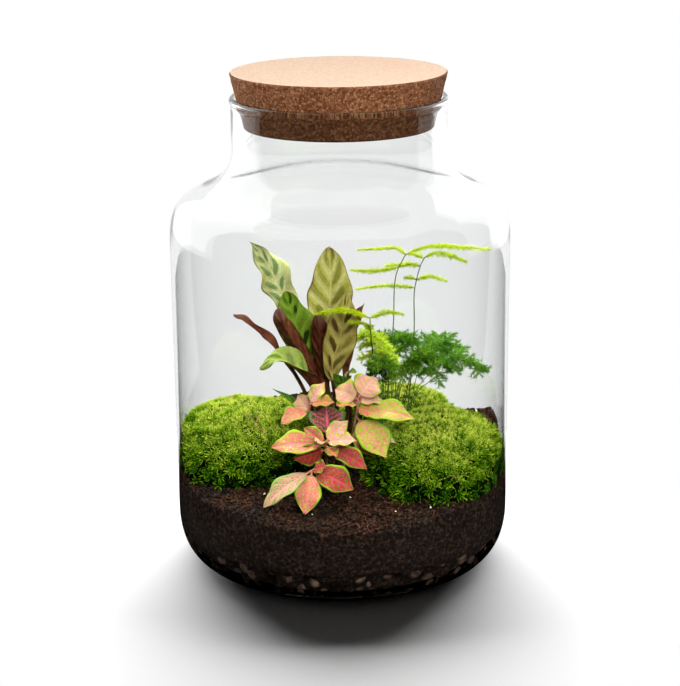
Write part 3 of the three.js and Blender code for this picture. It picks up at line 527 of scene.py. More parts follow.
def addLights():
    for name, (azimuth, elevation, distance, width, height, brightness, seen, lit) in lamps.items():
        lamp = bpy.data.lights.new(name, "AREA")
        lamp.shape = "RECTANGLE"
        lamp.size = width
        lamp.size_y = height
        lamp.energy = brightness * math.pi * width * height
        thing = linked(name, lamp)
        a, e = math.radians(azimuth), math.radians(elevation)
        way = Vector((math.sin(a) * math.cos(e), -math.cos(a) * math.cos(e), math.sin(e)))
        aim = way.to_track_quat("Z", "Y").to_matrix().to_4x4()
        thing.matrix_world = Matrix.Translation(lampTarget + way * distance) @ aim
        thing.visible_glossy = seen
        thing.visible_transmission = seen
        thing.visible_camera = False
        thing.light_linking.receiver_collection = litBy[lit]
        if lit == "floor":
            thing.light_linking.blocker_collection = litBy["ground"]


def addWorld():
    # white behind and round the jar, almost black for matt surfaces, which the lamps light
    world = bpy.data.worlds.new("studio")
    world.use_nodes = True
    bpy.context.scene.world = world
    tree = world.node_tree
    path = addNode(tree, "ShaderNodeLightPath")
    strength = addNode(tree, "ShaderNodeMath", {"operation": "MULTIPLY_ADD", 1: -0.96, 2: 1.0},
                       {0: path.outputs["Is Diffuse Ray"]})
    feed(tree, tree.nodes["Background"], {"Strength": strength})
    tree.nodes["Background"].inputs["Color"].default_value = linear("#ffffff")
    bpy.context.scene.view_settings.view_transform = "Standard"


# Black cloth, as wide on both sides: round the camera from near to 0, then flat and low as far as far, with
# an opening behind the jar that is given by its half width and distance
cloth = {
    "side": 1300, "near": -1080, "far": 620, "low": -30, "high": 1700,
    "opening": [(110, 150), (207, 240), (470, 620)],
}


def addCloth(camera):
    # so that the glass shows no veil. It moves with the camera.
    molton, tree, shader = newMaterial("black molton cloth", {"Roughness": 1.0, "Specular IOR Level": 0.0})
    place = addNode(tree, "ShaderNodeTexCoord").outputs["Object"]
    weave = addNode(tree, "ShaderNodeTexNoise", {"Scale": 900}, {"Vector": place})
    colour = addNode(tree, "ShaderNodeValToRGB", {"stops": [(0, "#050505"), (1, "#0c0c0c")]},
                     {"Fac": weave})
    feed(tree, shader, {"Base Color": colour})
    side, near, far, low, high = (cloth[key] for key in ("side", "near", "far", "low", "high"))
    points = [(-side, 0, low), (-side, 0, high), (-side, near, high), (-side, near, low),
              (side, near, low), (side, near, high), (side, 0, high), (side, 0, low),
              (side, far, low)]
    points += [(gap, back, low) for gap, back in reversed(cloth["opening"])]
    points += [(-gap, back, low) for gap, back in cloth["opening"]]
    points.append((-side, far, low))
    faces = [(0, 1, 2, 3), (3, 2, 5, 4), (4, 5, 6, 7), (3, 4) + tuple(range(8, len(points)))]
    flag = linked("black_cloth", meshOf("black_cloth", points, faces, [molton]))
    flag.visible_camera = False
    flag.parent = camera
    flag.matrix_parent_inverse = camera.matrix_world.inverted()


floorDisc = {"radius": 215, "corners": 128}


def addFloor():
    # white painted, to stand the jar on, very slightly uneven
    material, tree, shader = newMaterial("studio floor, matt white paint", {"Roughness": 0.9})
    place = addNode(tree, "ShaderNodeTexCoord").outputs["Object"]
    areas = addNode(tree, "ShaderNodeTexNoise", {"Scale": 3}, {"Vector": place})
    colour = addNode(tree, "ShaderNodeValToRGB", {"stops": [(0, "#f4f4f4"), (1, "#fafafa")]},
                     {"Fac": areas})
    feed(tree, shader, {"Base Color": colour})
    radius, corners = floorDisc["radius"], floorDisc["corners"]
    ring = [(radius * math.cos(a), radius * math.sin(a), 0)
            for a in (2 * math.pi * i / corners for i in range(corners))]
    floor = linked("floor", meshOf("floor", ring, [tuple(range(corners))], [material]))
    floor.visible_glossy = False
    floor.visible_transmission = False
    litBy["floor"].objects.link(floor)


addLights()
addWorld()
addCloth(addCamera())
addFloor()
print("camera, lights and floor made")


# Glass jar

jar = {
    "height": 257, "bodyRadius": 92.5, "neckRadius": 57.8, "wall": 2, "neckWall": 2.6, "base": 4,
    "footRadius": 76, "footCurveTop": 27, "wallTop": 177.5, "neckBottom": 232,
    "turn": (77, 207), "slope": 0.4, "roundReach": 11.3, "hollowReach": 12.6, "shoulderRise": 21,
    "footPull": 0.63, "footLift": 0.4, "neckPull": 10, "curveSteps": 20, "closest": 0.1, "around": 144,
    "lipRadius": 1.7, "lipFrom": -50, "lipTurn": 230, "lipSteps": 16,
}


def jarProfile(inset, neckInset, rise):
    # half section of the jar's outer face, or of its inner face when moved in by the wall
    foot = jar["footRadius"] - inset / 2
    body = jar["bodyRadius"] - inset
    neck = jar["neckRadius"] - neckInset
    top = jar["footCurveTop"]
    down = Vector((math.cos(jar["slope"]), -math.sin(jar["slope"])))
    turn = Vector(jar["turn"]) - inset * Vector((math.sin(jar["slope"]), math.cos(jar["slope"])))
    curves = [
        [(foot, rise), (lerp(foot, body, jar["footPull"]), rise),
         (body, lerp(rise, top, jar["footLift"])), (body, top)],
        [(body, jar["wallTop"]), (body, jar["wallTop"] + jar["shoulderRise"]),
         turn + down * jar["roundReach"], turn],
        [turn, turn - down * jar["hollowReach"], (neck, jar["turn"][1] + jar["neckPull"]),
         (neck, jar["neckBottom"])],
    ]
    profile = [(0, rise)]
    for corners in curves:
        for r, z in bezier(corners, jar["curveSteps"]):
            if math.hypot(r - profile[-1][0], z - profile[-1][1]) > jar["closest"]:
                profile.append((r, z))
    return profile


innerProfile = jarProfile(jar["wall"], jar["neckWall"], jar["base"])
innerHeights = [z for _, z in innerProfile[1:]]
innerRadii = [r for r, _ in innerProfile[1:]]


def innerRadius(z):
    return np.interp(z, innerHeights, innerRadii)


def buildJar():
    # the lip is fire-rounded to a bead that is a little thicker than the neck
    lipRadius = jar["lipRadius"]
    middle = jar["neckRadius"] - jar["neckWall"] + lipRadius
    lip = [(middle + lipRadius * math.cos(a), jar["height"] - lipRadius + lipRadius * math.sin(a))
           for a in (math.radians(jar["lipFrom"] + jar["lipTurn"] * i / jar["lipSteps"])
                     for i in range(jar["lipSteps"] + 1))]
    neck = [(jar["neckRadius"], jar["height"] - k * lipRadius) for k in (4, 3)]
    profile = jarProfile(0, 0, 0) + neck + lip + innerProfile[::-1]
    points, faces = lathe(profile, jar["around"])
    keepPiece("jar", meshOf("jar", points, faces, [blownGlass()]), "glass", ["glass_jar"])


buildJar()


# Cork stopper

cork = {
    "top": 270, "bottom": 241, "topRadius": 58, "bottomRadius": 51.5, "chamfer": 0.7, "around": 360,
    "row": 0.75, "grain": 1.9, "groove": 0.35, "grooveWidth": 0.35, "pit": 0.55, "pitSize": 0.6,
    "pitFrom": 0.25, "underRings": (0, 0.3, 0.6, 0.85, 0.95),
    "topRings": (0.975, 0.95, 0.9, 0.7, 0.5, 0.25, 0),
}


def roughSide(x, y, z):
    # how deep the surface lies at a point: grooves between the grains and a few pits
    spot = Vector((x, y, z)) / cork["grain"]
    near = noise.voronoi(spot)[0]
    groove = cork["groove"] * max(0, 1 - (near[1] - near[0]) / cork["grooveWidth"])
    pit = cork["pit"] * max(0, noise.noise(spot * cork["pitSize"] + Vector((7, 3, 5))) - cork["pitFrom"])
    return groove + pit


def buildCork():
    top, bottom, chamfer = cork["top"], cork["bottom"], cork["chamfer"]
    wide, narrow = cork["topRadius"], cork["bottomRadius"]
    rows = round((top - bottom) / cork["row"])
    side = [(lerp(narrow, wide, i / rows), lerp(bottom + chamfer, top - chamfer, i / rows))
            for i in range(rows + 1)]
    bottomFace = [(narrow * s, bottom) for s in cork["underRings"]] + [(narrow - chamfer, bottom)]
    topFace = [(wide - chamfer, top)] + [(wide * s, top) for s in cork["topRings"]]
    points, faces = lathe(bottomFace + side + topFace, cork["around"])
    rough = []
    for x, y, z in points:
        # the cut sides in full, the rims of the sanded top and foot half as deep
        r, share = math.hypot(x, y), 0
        if r > 0.93 * narrow and bottom < z < top:
            share = 1
        elif r > wide - chamfer - 0.5:
            share = 0.5
        shrink = (r - share * roughSide(x, y, z)) / r if share else 1
        rough.append((x * shrink, y * shrink, z))
    sides = corkBoard("granulated cork, cut", [
        (0.22, "#3c1b0b"), (0.42, "#6d4127"), (0.6, "#895a3d"), (0.85, "#b8875e")], 0.38)
    sanded = corkBoard("granulated cork, sanded", [
        (0.15, "#d8a985"), (0.35, "#f0cbad"), (0.6, "#f8d8bd"), (0.85, "#fce6d0")], 0.93)
    mesh = meshOf("cork", rough, faces, [sides, sanded])
    for face in mesh.polygons:
        if face.center.z > (top - 0.3) * mm:
            face.material_index = 1
    keepPiece("stopper", mesh, "cork", ["cork_stopper"])


buildCork()
print("jar and stopper made")


# Soil and clay balls

# A heap is its height, its middle in x and y, and the square of how far it spreads in x and y: round the
# prayer plant, at the right back and a dip at the front, then what is pushed up the glass left and right
soil = {
    "bottom": 18.4, "middle": 52.5, "rise": 0.09, "rings": 74, "rowHeight": 1.8, "widest": 88,
    "ragged": 3.0, "lump": 1.6, "lumpSize": 7, "crumb": 0.8, "crumbSize": 1.8, "ripple": 0.8,
    "heaps": [(4.5, -3, 14, 900, 900), (6, 80, 37, 460, 460), (-2, 8, -80, 700, 700)],
    "wallHeaps": [(10, -94, 4, 900, 900), (14, 90, 17, 350, 420)],
    "spacing": 1.3, "density": 600000.0, "smallest": 0.35, "largest": 1.5,
}
stemDepth = 8
touch = 0.1    # damp ground wets the glass: it stands this far into the wall, so no light gets between them


def heaped(heaps, x, y):
    return sum(height * math.exp(-(x - a) ** 2 / wide - (y - b) ** 2 / deep)
               for height, a, b, wide, deep in heaps)


def soilHeight(x, y):
    # low at the front
    ripple = soil["ripple"] * math.sin(x / 9 + 1) * math.cos(y / 11)
    level = soil["middle"] + soil["rise"] * y
    return level + heaped(soil["heaps"], x, y) + ripple + heaped(soil["wallHeaps"], x, y)


def ringPoints(rings):
    # ring and angle of points that cover a disc evenly: 1, then 6, 12, 18 and so on
    return [(0, 0)] + [(ring, 2 * math.pi * i / (6 * ring)) for ring in range(1, rings + 1)
                       for i in range(6 * ring)]


def ringFaces(rings):
    def index(ring, i):
        return 1 + 3 * ring * (ring - 1) + i % (6 * ring) if ring else 0
    faces = []
    for ring in range(1, rings + 1):
        for i in range(6 * ring):
            inner = i // ring * (ring - 1) + i % ring
            faces.append((index(ring, i), index(ring, i + 1), index(ring - 1, inner)))
            if i % ring < ring - 1:
                faces.append((index(ring, i + 1), index(ring - 1, inner + 1), index(ring - 1, inner)))
    return faces


def closeBelow(points, faces, rings, rows):
    # adds rows of points under the rim, given by a function of rim point and row, and a bottom
    rimCount = 6 * rings
    upper = len(points) - rimCount
    rim = points[upper:]
    for row in rows:
        lower = len(points)
        points += [row(p) for p in rim]
        for i in range(rimCount):
            j = (i + 1) % rimCount
            faces += [(upper + i, lower + i, lower + j), (upper + i, lower + j, upper + j)]
        upper = lower
    foot = len(points)
    points.append(tuple(np.mean(np.array(points[upper:]), axis=0)))
    faces += [(foot, upper + (i + 1) % rimCount, upper + i) for i in range(rimCount)]


def lumpy(x, y, z, size):
    return noise.fractal(Vector((x, y, z)) / size, 0.8, 2.0, 4)


def buildSoil():
    rings = soil["rings"]
    points = []
    for ring, angle in ringPoints(rings):
        share = ring / rings
        wide = soil["widest"] * share
        guess = soilHeight(wide * math.cos(angle), wide * math.sin(angle))
        radius = (innerRadius(guess) + touch) * share
        x, y = radius * math.cos(angle), radius * math.sin(angle)
        rough = soil["lump"] * lumpy(x, y, 0, soil["lumpSize"])
        rough += soil["crumb"] * lumpy(x, y, 9, soil["crumbSize"])
        points.append((x, y, soilHeight(x, y) + rough))
    faces = ringFaces(rings)

    def sidePoint(p, height):
        angle = math.atan2(p[1], p[0])
        z = max(height, soil["bottom"] + soil["ragged"] * max(0, lumpy(p[0], p[1], 5, 9)))
        radius = innerRadius(z) + touch
        return (radius * math.cos(angle), radius * math.sin(angle), z)

    rowCount = round((soil["middle"] - soil["bottom"]) / soil["rowHeight"])
    rows = [lambda p, s=(i + 1) / rowCount: sidePoint(p, lerp(p[2], soil["bottom"], s))
            for i in range(rowCount)]
    topCount = len(points)
    closeBelow(points, faces, rings, rows)
    body = meshOf("soil", points, faces, [pottingSoil("peat soil, damp", "#1e120c")])
    # crumbs where the soil lies open
    bare = [0.0 if i >= topCount or underMoss(p[0], p[1]) else 1.0 for i, p in enumerate(points)]
    setAttribute(body, "grow", bare)
    setAttribute(body, "size", [1.0] * len(points))
    crumb = crumbItem("crumb", 5)
    loose = pottingSoil("peat soil, loose", "#2e1d13")
    crumbs = grown("crumbs", body, coverTree(), {
        "Spacing": soil["spacing"] * mm, "Density": soil["density"], "Item": crumb,
        "Smallest": soil["smallest"] * mm, "Largest": soil["largest"] * mm, "Tilt": 3.0, "Seed": 4,
        "Material": loose,
    })
    bpy.data.objects.remove(crumb)
    keepInside(crumbs, -touch)
    keepPiece("soil_bed", joined("soil_bed", [body, crumbs]), "soil", ["soil"])


def lumpItem(name, subdivisions, out):
    # a closed lump about 2 across, to be scaled; how far out each corner lies is given by a function
    ball = bmesh.new()
    bmesh.ops.create_icosphere(ball, subdivisions=subdivisions, radius=1)
    for vertex in ball.verts:
        vertex.co *= out(vertex.co)
    mesh = bpy.data.meshes.new(name)
    ball.to_mesh(mesh)
    ball.free()
    return linked(name, mesh)


def crumbItem(name, seed):
    # an angular grain
    random = Random(seed)
    return lumpItem(name, 1, lambda corner: random.uniform(0.7, 1.15))


pressing = {"bulge": 0.2, "ease": 3}


def keepInside(mesh, clearance):
    # presses what would reach through the glass against it: almost flat, with a bulge that grows with how
    # far it would have reached
    count = len(mesh.vertices)
    places = np.zeros(count * 3, np.float32)
    mesh.vertices.foreach_get("co", places)
    places = places.reshape(-1, 3)
    reach = np.hypot(places[:, 0], places[:, 1])
    limit = (innerRadius(places[:, 2] / mm) - clearance) * mm
    over = np.maximum(0, reach - limit)
    bulge = pressing["bulge"] * mm * (1 - np.exp(-over / (pressing["ease"] * mm)))
    pressed = np.minimum(reach, limit + bulge)
    places[:, :2] *= (pressed / np.maximum(reach, 1e-9))[:, None]
    mesh.vertices.foreach_set("co", places.ravel())
    mesh.update()


# Moss cushions: middle, half sizes along and across, turn in radians, height over the soil, and how much
# is added to their shoots' share of light, a painted light; the back cushion, in the fern's shade, loses
# the least
cushions = {
    "moss_left": {"centre": (-56, 2), "half": (46, 41), "turn": 0.4, "height": 30, "sun": -0.35,
                  "seed": 31},
    "moss_right": {"centre": (53, -17), "half": (40, 43), "turn": -0.3, "height": 30, "sun": -0.35,
                   "seed": 32},
    "moss_back": {"centre": (31, 56), "half": (34, 25), "turn": -0.2, "height": 18, "sun": -0.13,
                  "seed": 33},
}
# Shoots: the leaves of the star, their size, how steep the lowest and the highest stand and the angle from
# one to the next, then how large and how dense the stars are low down
moss = {
    "rings": 44, "sunk": 2.1, "lump": 1.8, "lumpSize": 9, "spacing": 0.82, "density": 1300000.0,
    "leaves": 9, "leafLength": 2.3, "leafWidth": 0.46, "steep": (12, 75), "apart": 2.4,
    "smallest": 0.7, "largest": 1.25, "tilt": 0.45, "patch": 0.25, "patchSize": 8,
    "starSize": 1.75, "topSize": 0.5, "starDensity": 0.13,
}


def cushionShare(cushion, x, y):
    # 0 in the middle of a cushion, 1 at its rim
    dx, dy = x - cushion["centre"][0], y - cushion["centre"][1]
    c, s = math.cos(cushion["turn"]), math.sin(cushion["turn"])
    return math.hypot((dx * c + dy * s) / cushion["half"][0], (dy * c - dx * s) / cushion["half"][1])


def underMoss(x, y):
    return any(cushionShare(cushion, x, y) < 0.95 for cushion in cushions.values())


def domeHeight(cushion, x, y):
    share = min(1, cushionShare(cushion, x, y))
    swell = cushion["height"] * (1 - share ** 2.6) ** 0.6
    rough = moss["lump"] * lumpy(x, y, cushion["seed"], moss["lumpSize"]) * (1 - share ** 6)
    return soilHeight(x, y) - heaped(soil["wallHeaps"], x, y) - moss["sunk"] + swell + rough


def mossShoot():
    # a star of slim pointed leaves on a short stem, one unit long, to be scaled
    random = Random(8)
    points, faces, tips = [], [], []
    for i in range(moss["leaves"]):
        level = i / (moss["leaves"] - 1)
        angle = i * moss["apart"] + random.uniform(-0.2, 0.2)
        rise = math.radians(lerp(*moss["steep"], level) + random.uniform(-8, 8))
        way = Vector((math.cos(angle) * math.cos(rise), math.sin(angle) * math.cos(rise), math.sin(rise)))
        side = Vector((-math.sin(angle), math.cos(angle), 0))
        root = Vector((0, 0, 0.5 * level))
        width = moss["leafWidth"] / moss["leafLength"] / 2
        middle = root + way * 0.4 - way.cross(side) * width * 0.5
        start = len(points)
        points += [root, middle + side * width, middle - side * width,
                   root + way * random.uniform(0.8, 1.1)]
        tips += [0.0, 0.45, 0.45, 1.0]
        for face in ((0, 1, 2), (3, 2, 1), (0, 3, 1), (0, 2, 3)):
            faces.append(tuple(start + k for k in face))
    mesh = bpy.data.meshes.new("shoot")
    mesh.from_pydata(points, [], faces)
    setAttribute(mesh, "tip", tips)
    return linked("shoot", mesh)


def buildMoss():
    shoot = mossShoot()
    tree = coverTree()
    green = mossLeaf("cushion moss, living", [
        (0.05, "#0a1a03"), (0.25, "#1c4803"), (0.45, "#427c02"), (0.65, "#86ac0c"), (0.88, "#dee460")])
    floor = mossLeaf("cushion moss, old growth", [(0.1, "#070c03"), (0.5, "#152408"), (0.9, "#2f480f")])
    for name, cushion in cushions.items():
        rings = moss["rings"]
        points = []
        for ring, angle in ringPoints(rings):
            share = math.sin(0.5 * math.pi * ring / rings)
            along = cushion["half"][0] * share * math.cos(angle)
            across = cushion["half"][1] * share * math.sin(angle)
            c, s = math.cos(cushion["turn"]), math.sin(cushion["turn"])
            x = cushion["centre"][0] + along * c - across * s
            y = cushion["centre"][1] + along * s + across * c
            points.append((x, y, domeHeight(cushion, x, y)))
        faces = ringFaces(rings)
        closeBelow(points, faces, rings, [lambda p: (p[0], p[1], p[2] - 3)])
        dome = meshOf(name + "_dome", points, faces, [floor])
        keepInside(dome, 0.3)
        # small shoots on top and large stars low on the sides, none under the soil; the tops painted yellow
        # and light and the low sides green and dark, as painted light and shade
        rim = 1 + 3 * rings * (rings - 1)
        grow, sunAndPaintedLightShares, sizes = [], [], []
        for i, vertex in enumerate(dome.vertices):
            x, y, z = vertex.co / mm
            raised = (z - soilHeight(x, y)) / cushion["height"]
            patch = moss["patch"] * lumpy(x, y, z + 40, moss["patchSize"])
            # this share is painted light as well as growth: it makes the tops yellower and lighter, and
            # sets the size and density of the shoots
            sun = min(1, max(0, 0.6 * vertex.normal.z + 0.7 * raised + cushion["sun"] + patch))
            sunAndPaintedLightShares.append(sun)
            sizes.append(lerp(moss["starSize"], moss["topSize"], sun))
            hidden = i >= rim or z < soilHeight(x, y) - 0.8
            grow.append(0.0 if hidden else lerp(moss["starDensity"], 1, min(1, sun * 1.5)))
        setAttribute(dome, "grow", grow)
        setAttribute(dome, "sun", sunAndPaintedLightShares)
        setAttribute(dome, "size", sizes)
        shoots = grown(name + "_shoots", dome, tree, {
            "Spacing": moss["spacing"] * mm, "Density": moss["density"], "Item": shoot,
            "Smallest": moss["leafLength"] * moss["smallest"] * mm,
            "Largest": moss["leafLength"] * moss["largest"] * mm,
            "Tilt": moss["tilt"], "Seed": cushion["seed"], "Material": green,
        })
        keepInside(shoots, -touch)
        setAttribute(dome, "tip", [0.3] * len(dome.vertices))
        keepPiece(name + "_cushion", joined(name, [dome, shoots]), "moss", [name], smooth=False)
    bpy.data.objects.remove(shoot)


# Clay balls: three uneven rows against the glass, half buried in soil that was washed down between them
pebbles = {
    "radius": 6.2, "smallest": 0.6, "around": 34, "rows": (8.6, 13.5, 18.5), "uneven": 1.5, "top": 21,
    "above": 0.4, "buried": 0.5, "pressed": 1.2, "flattened": 0.4, "gap": 2.2, "gapSize": 6, "open": 0.15,
    "fillRows": 12, "fillAround": 220,
}


def buildPebbles():
    random = Random(12)
    low = jar["base"] + pebbles["above"]
    spots, sizes = [], []
    for row, height in enumerate(pebbles["rows"]):
        for i in range(pebbles["around"]):
            radius = pebbles["radius"] * random.uniform(pebbles["smallest"], 1.0)
            angle = 2 * math.pi * (i + row / 2 + random.uniform(-0.25, 0.25)) / pebbles["around"]
            z = max(height + random.uniform(-pebbles["uneven"], pebbles["uneven"]), low + radius)
            # clear of the wall beside the ball, and of the curved foot below it
            reach = min(innerRadius(z) - radius, innerRadius(z - radius * 0.7) - radius * 0.72)
            out = reach + random.uniform(-pebbles["buried"], pebbles["pressed"])
            spots.append((out * math.cos(angle), out * math.sin(angle), z))
            sizes.append(radius * mm)
    base = meshOf("ball_spots", spots, [])
    setAttribute(base, "size", sizes)
    ball = lumpItem("ball", 3, lambda corner: 0.95 + 0.09 * noise.noise(corner * 1.7))
    balls = grown("balls", base, placeTree(), {"Item": ball, "Seed": 6, "Material": firedClay()})
    bpy.data.objects.remove(ball)
    keepInside(balls, -pebbles["flattened"])
    wall = [(innerRadius(z), z) for z in np.linspace(low, pebbles["top"], pebbles["fillRows"])]
    points, faces = lathe([(0, low)] + wall + [(0, pebbles["top"])], pebbles["fillAround"])
    sifted = []
    for x, y, z in points:
        r = max(math.hypot(x, y), 0.01)
        gap = pebbles["gap"] * 2 * (lumpy(x, y, z + 70, pebbles["gapSize"]) + pebbles["open"])
        share = 1 + (touch - min(pebbles["gap"], max(0, gap))) / r if r > 1 else 1
        sifted.append((x * share, y * share, z))
    filling = meshOf("filling", sifted, faces, [pottingSoil("peat soil, sifted in", "#1c130e")])
    keepPiece("clay_balls", joined("clay_balls", [filling, balls]), "clay", ["clay_pebbles"])


buildSoil()
buildMoss()
buildPebbles()
print("soil, moss and clay balls made")


# Leaves

def fromSoil(x, y, *rest):
    # a stem stands upright in the soil at x and y, and then goes through the rest
    level = soilHeight(x, y)
    foot = [(x, y, level - stemDepth), (x, y, level), (x, y, level + 4)]
    return [Vector(p) for p in foot + list(rest)]


def bladeWidth(u, peak, fullness, pointed):
    # share of the full half width along a blade, widest at its peak and drawn out at a pointed tip
    full = max(0.0, math.sin(math.pi * u ** (math.log(0.5) / math.log(peak)))) ** fullness
    return full * (1 - pointed * max(0, (u - 0.6) / 0.4) ** 1.5)


def leafMesh(leaf, grid, relief):
    # points, faces, uv and material numbers of a leaf with its stalk: upper side, underside, stalk
    path, count = leaf["path"], len(leaf["path"]) - 1
    bladeFrom = leaf["bladeAt"] / count
    stalkFrom = 2 / count if grid["rooted"] else 0
    stations = [0] if grid["rooted"] else []
    stations += [lerp(stalkFrom, bladeFrom, i / grid["stalkSteps"]) for i in range(grid["stalkSteps"])]
    stations += [lerp(bladeFrom, 1, i / grid["bladeSteps"]) for i in range(grid["bladeSteps"])]
    faceBase, faceTip = Vector(leaf["face"][0]), Vector(leaf["face"][-1])
    across = grid["across"]
    points, uvs = [], []
    rows = []
    for t in stations:
        u = max(0, (t - bladeFrom) / (1 - bladeFrom))
        along = wayAt(path, t)
        side = along.cross(faceBase.lerp(faceTip, u)).normalized()
        normal = side.cross(along).normalized()
        shape = bladeWidth(u, leaf["peak"], leaf["full"], leaf["pointed"])
        half = leaf["stalk"] * (1 - u ** 4) + (leaf["halfWidth"] - leaf["stalk"]) * shape
        fold = lerp(leaf["fold"][0], leaf["fold"][1], u) * min(1, u * 6)
        stalky = 1 - min(1, u * 5)
        middle = curveAt(path, t)
        upper, lower = [], []
        for j in range(across + 1):
            s = 2 * j / across - 1
            phase = 2 * math.pi * (leaf["waves"] * u + (0.3 if s > 0 else 0))
            ruffle = leaf["wave"] * math.sin(phase) * s * s * min(1, u * 4)
            ruffle += relief(u, s, half) * min(1, u * 8)
            lobe = 1 + leaf["lobe"] * math.sin(phase * 1.3 + (2.2 if s > 0 else 0)) * min(1, u * 4)
            point = middle + side * (s * half * lobe * math.cos(fold))
            point += normal * (abs(s) * half * math.sin(fold) + ruffle)
            thick = lerp(grid["thickness"] / 2 * (1 - 0.6 * abs(s)),
                         leaf["stalk"] * 0.85 * math.sqrt(max(0, 1 - s * s)), stalky)
            for row, sign in ((upper, 1), (lower, -1)):
                if 0 < j < across:
                    row.append(len(points))
                    points.append(point + normal * (thick * sign))
                    uvs.append((u, s * 0.5 + 0.5))
            if j in (0, across):
                upper.append(len(points))
                lower.append(len(points))
                points.append(point)
                uvs.append((u, s * 0.5 + 0.5))
        rows.append((upper, lower, u))
    tip = len(points)
    points.append(curveAt(path, 1))
    uvs.append((1, 0.5))
    faces, kinds = [], []
    for (upperA, lowerA, u), (upperB, lowerB, _) in zip(rows, rows[1:]):
        for j in range(across):
            faces.append((upperA[j], upperA[j + 1], upperB[j + 1], upperB[j]))
            faces.append((lowerA[j], lowerB[j], lowerB[j + 1], lowerA[j + 1]))
            kinds += [2, 2] if u <= 0 else [0, 1]
    upper, lower, _ = rows[-1]
    for j in range(across):
        faces += [(upper[j], upper[j + 1], tip), (lower[j + 1], lower[j], tip)]
        kinds += [0, 1]
    upper, lower, _ = rows[0]
    faces.append(tuple(lower + upper[-2:0:-1]))
    kinds.append(2)
    return points, faces, uvs, kinds


def leafPiece(name, parts):
    # a mesh from leaf parts, each (points, faces, uv, kinds, materials)
    points, faces, uvs, kinds, materials = [], [], [], [], []
    for partPoints, partFaces, partUvs, partKinds, partMaterials in parts:
        start = len(points)
        numbers = []
        for material in partMaterials:
            if material not in materials:
                materials.append(material)
            numbers.append(materials.index(material))
        points += partPoints
        uvs += partUvs
        faces += [tuple(start + k for k in face) for face in partFaces]
        kinds += [numbers[k] for k in partKinds]
    mesh = bpy.data.meshes.new(name)
    mesh.from_pydata([p * mm for p in points], [], faces)
    for material in materials:
        mesh.materials.append(material)
    mesh.polygons.foreach_set("material_index", kinds)
    layer = mesh.uv_layers.new(name="leaf")
    corners = np.zeros(len(mesh.loops), np.int32)
    mesh.loops.foreach_get("vertex_index", corners)
    layer.data.foreach_set("uv", np.array(uvs, np.float32)[corners].ravel())
    mesh.validate()
    return mesh


def leafPlaces(tree):
    # how far along the blade, and how far out from the midrib
    uv = addNode(tree, "ShaderNodeUVMap", {"uv_map": "leaf"})
    axes = addNode(tree, "ShaderNodeSeparateXYZ", {}, {"Vector": uv})
    across = addNode(tree, "ShaderNodeMath", {"operation": "MULTIPLY_ADD", 1: 2.0, 2: -1.0},
                     {0: axes.outputs["Y"]})
    out = addNode(tree, "ShaderNodeMath", {"operation": "ABSOLUTE"}, {0: across})
    return axes.outputs["X"], out.outputs[0], across.outputs[0]


# Prayer plant

prayer = {"veins": 6.0, "slant": 1.3, "pillow": 0.8, "groove": 0.45}
prayerGrid = {"stalkSteps": 10, "bladeSteps": 52, "across": 20, "thickness": 0.5, "rooted": True}
prayerShape = {"stalk": 1.1, "peak": 0.52, "full": 0.8, "pointed": 0.3, "lobe": 0.05}


def prayerRelief(u, s, half):
    # pillows between the side veins, and the groove of the midrib
    phase = 2 * math.pi * (prayer["veins"] * u - prayer["slant"] * abs(s))
    pillow = prayer["pillow"] * math.cos(phase) * abs(s) * (1 - abs(s)) * 4 * min(1, half / 8)
    return pillow - prayer["groove"] * math.exp(-(s * half / 0.9) ** 2) * min(1, half / 6)


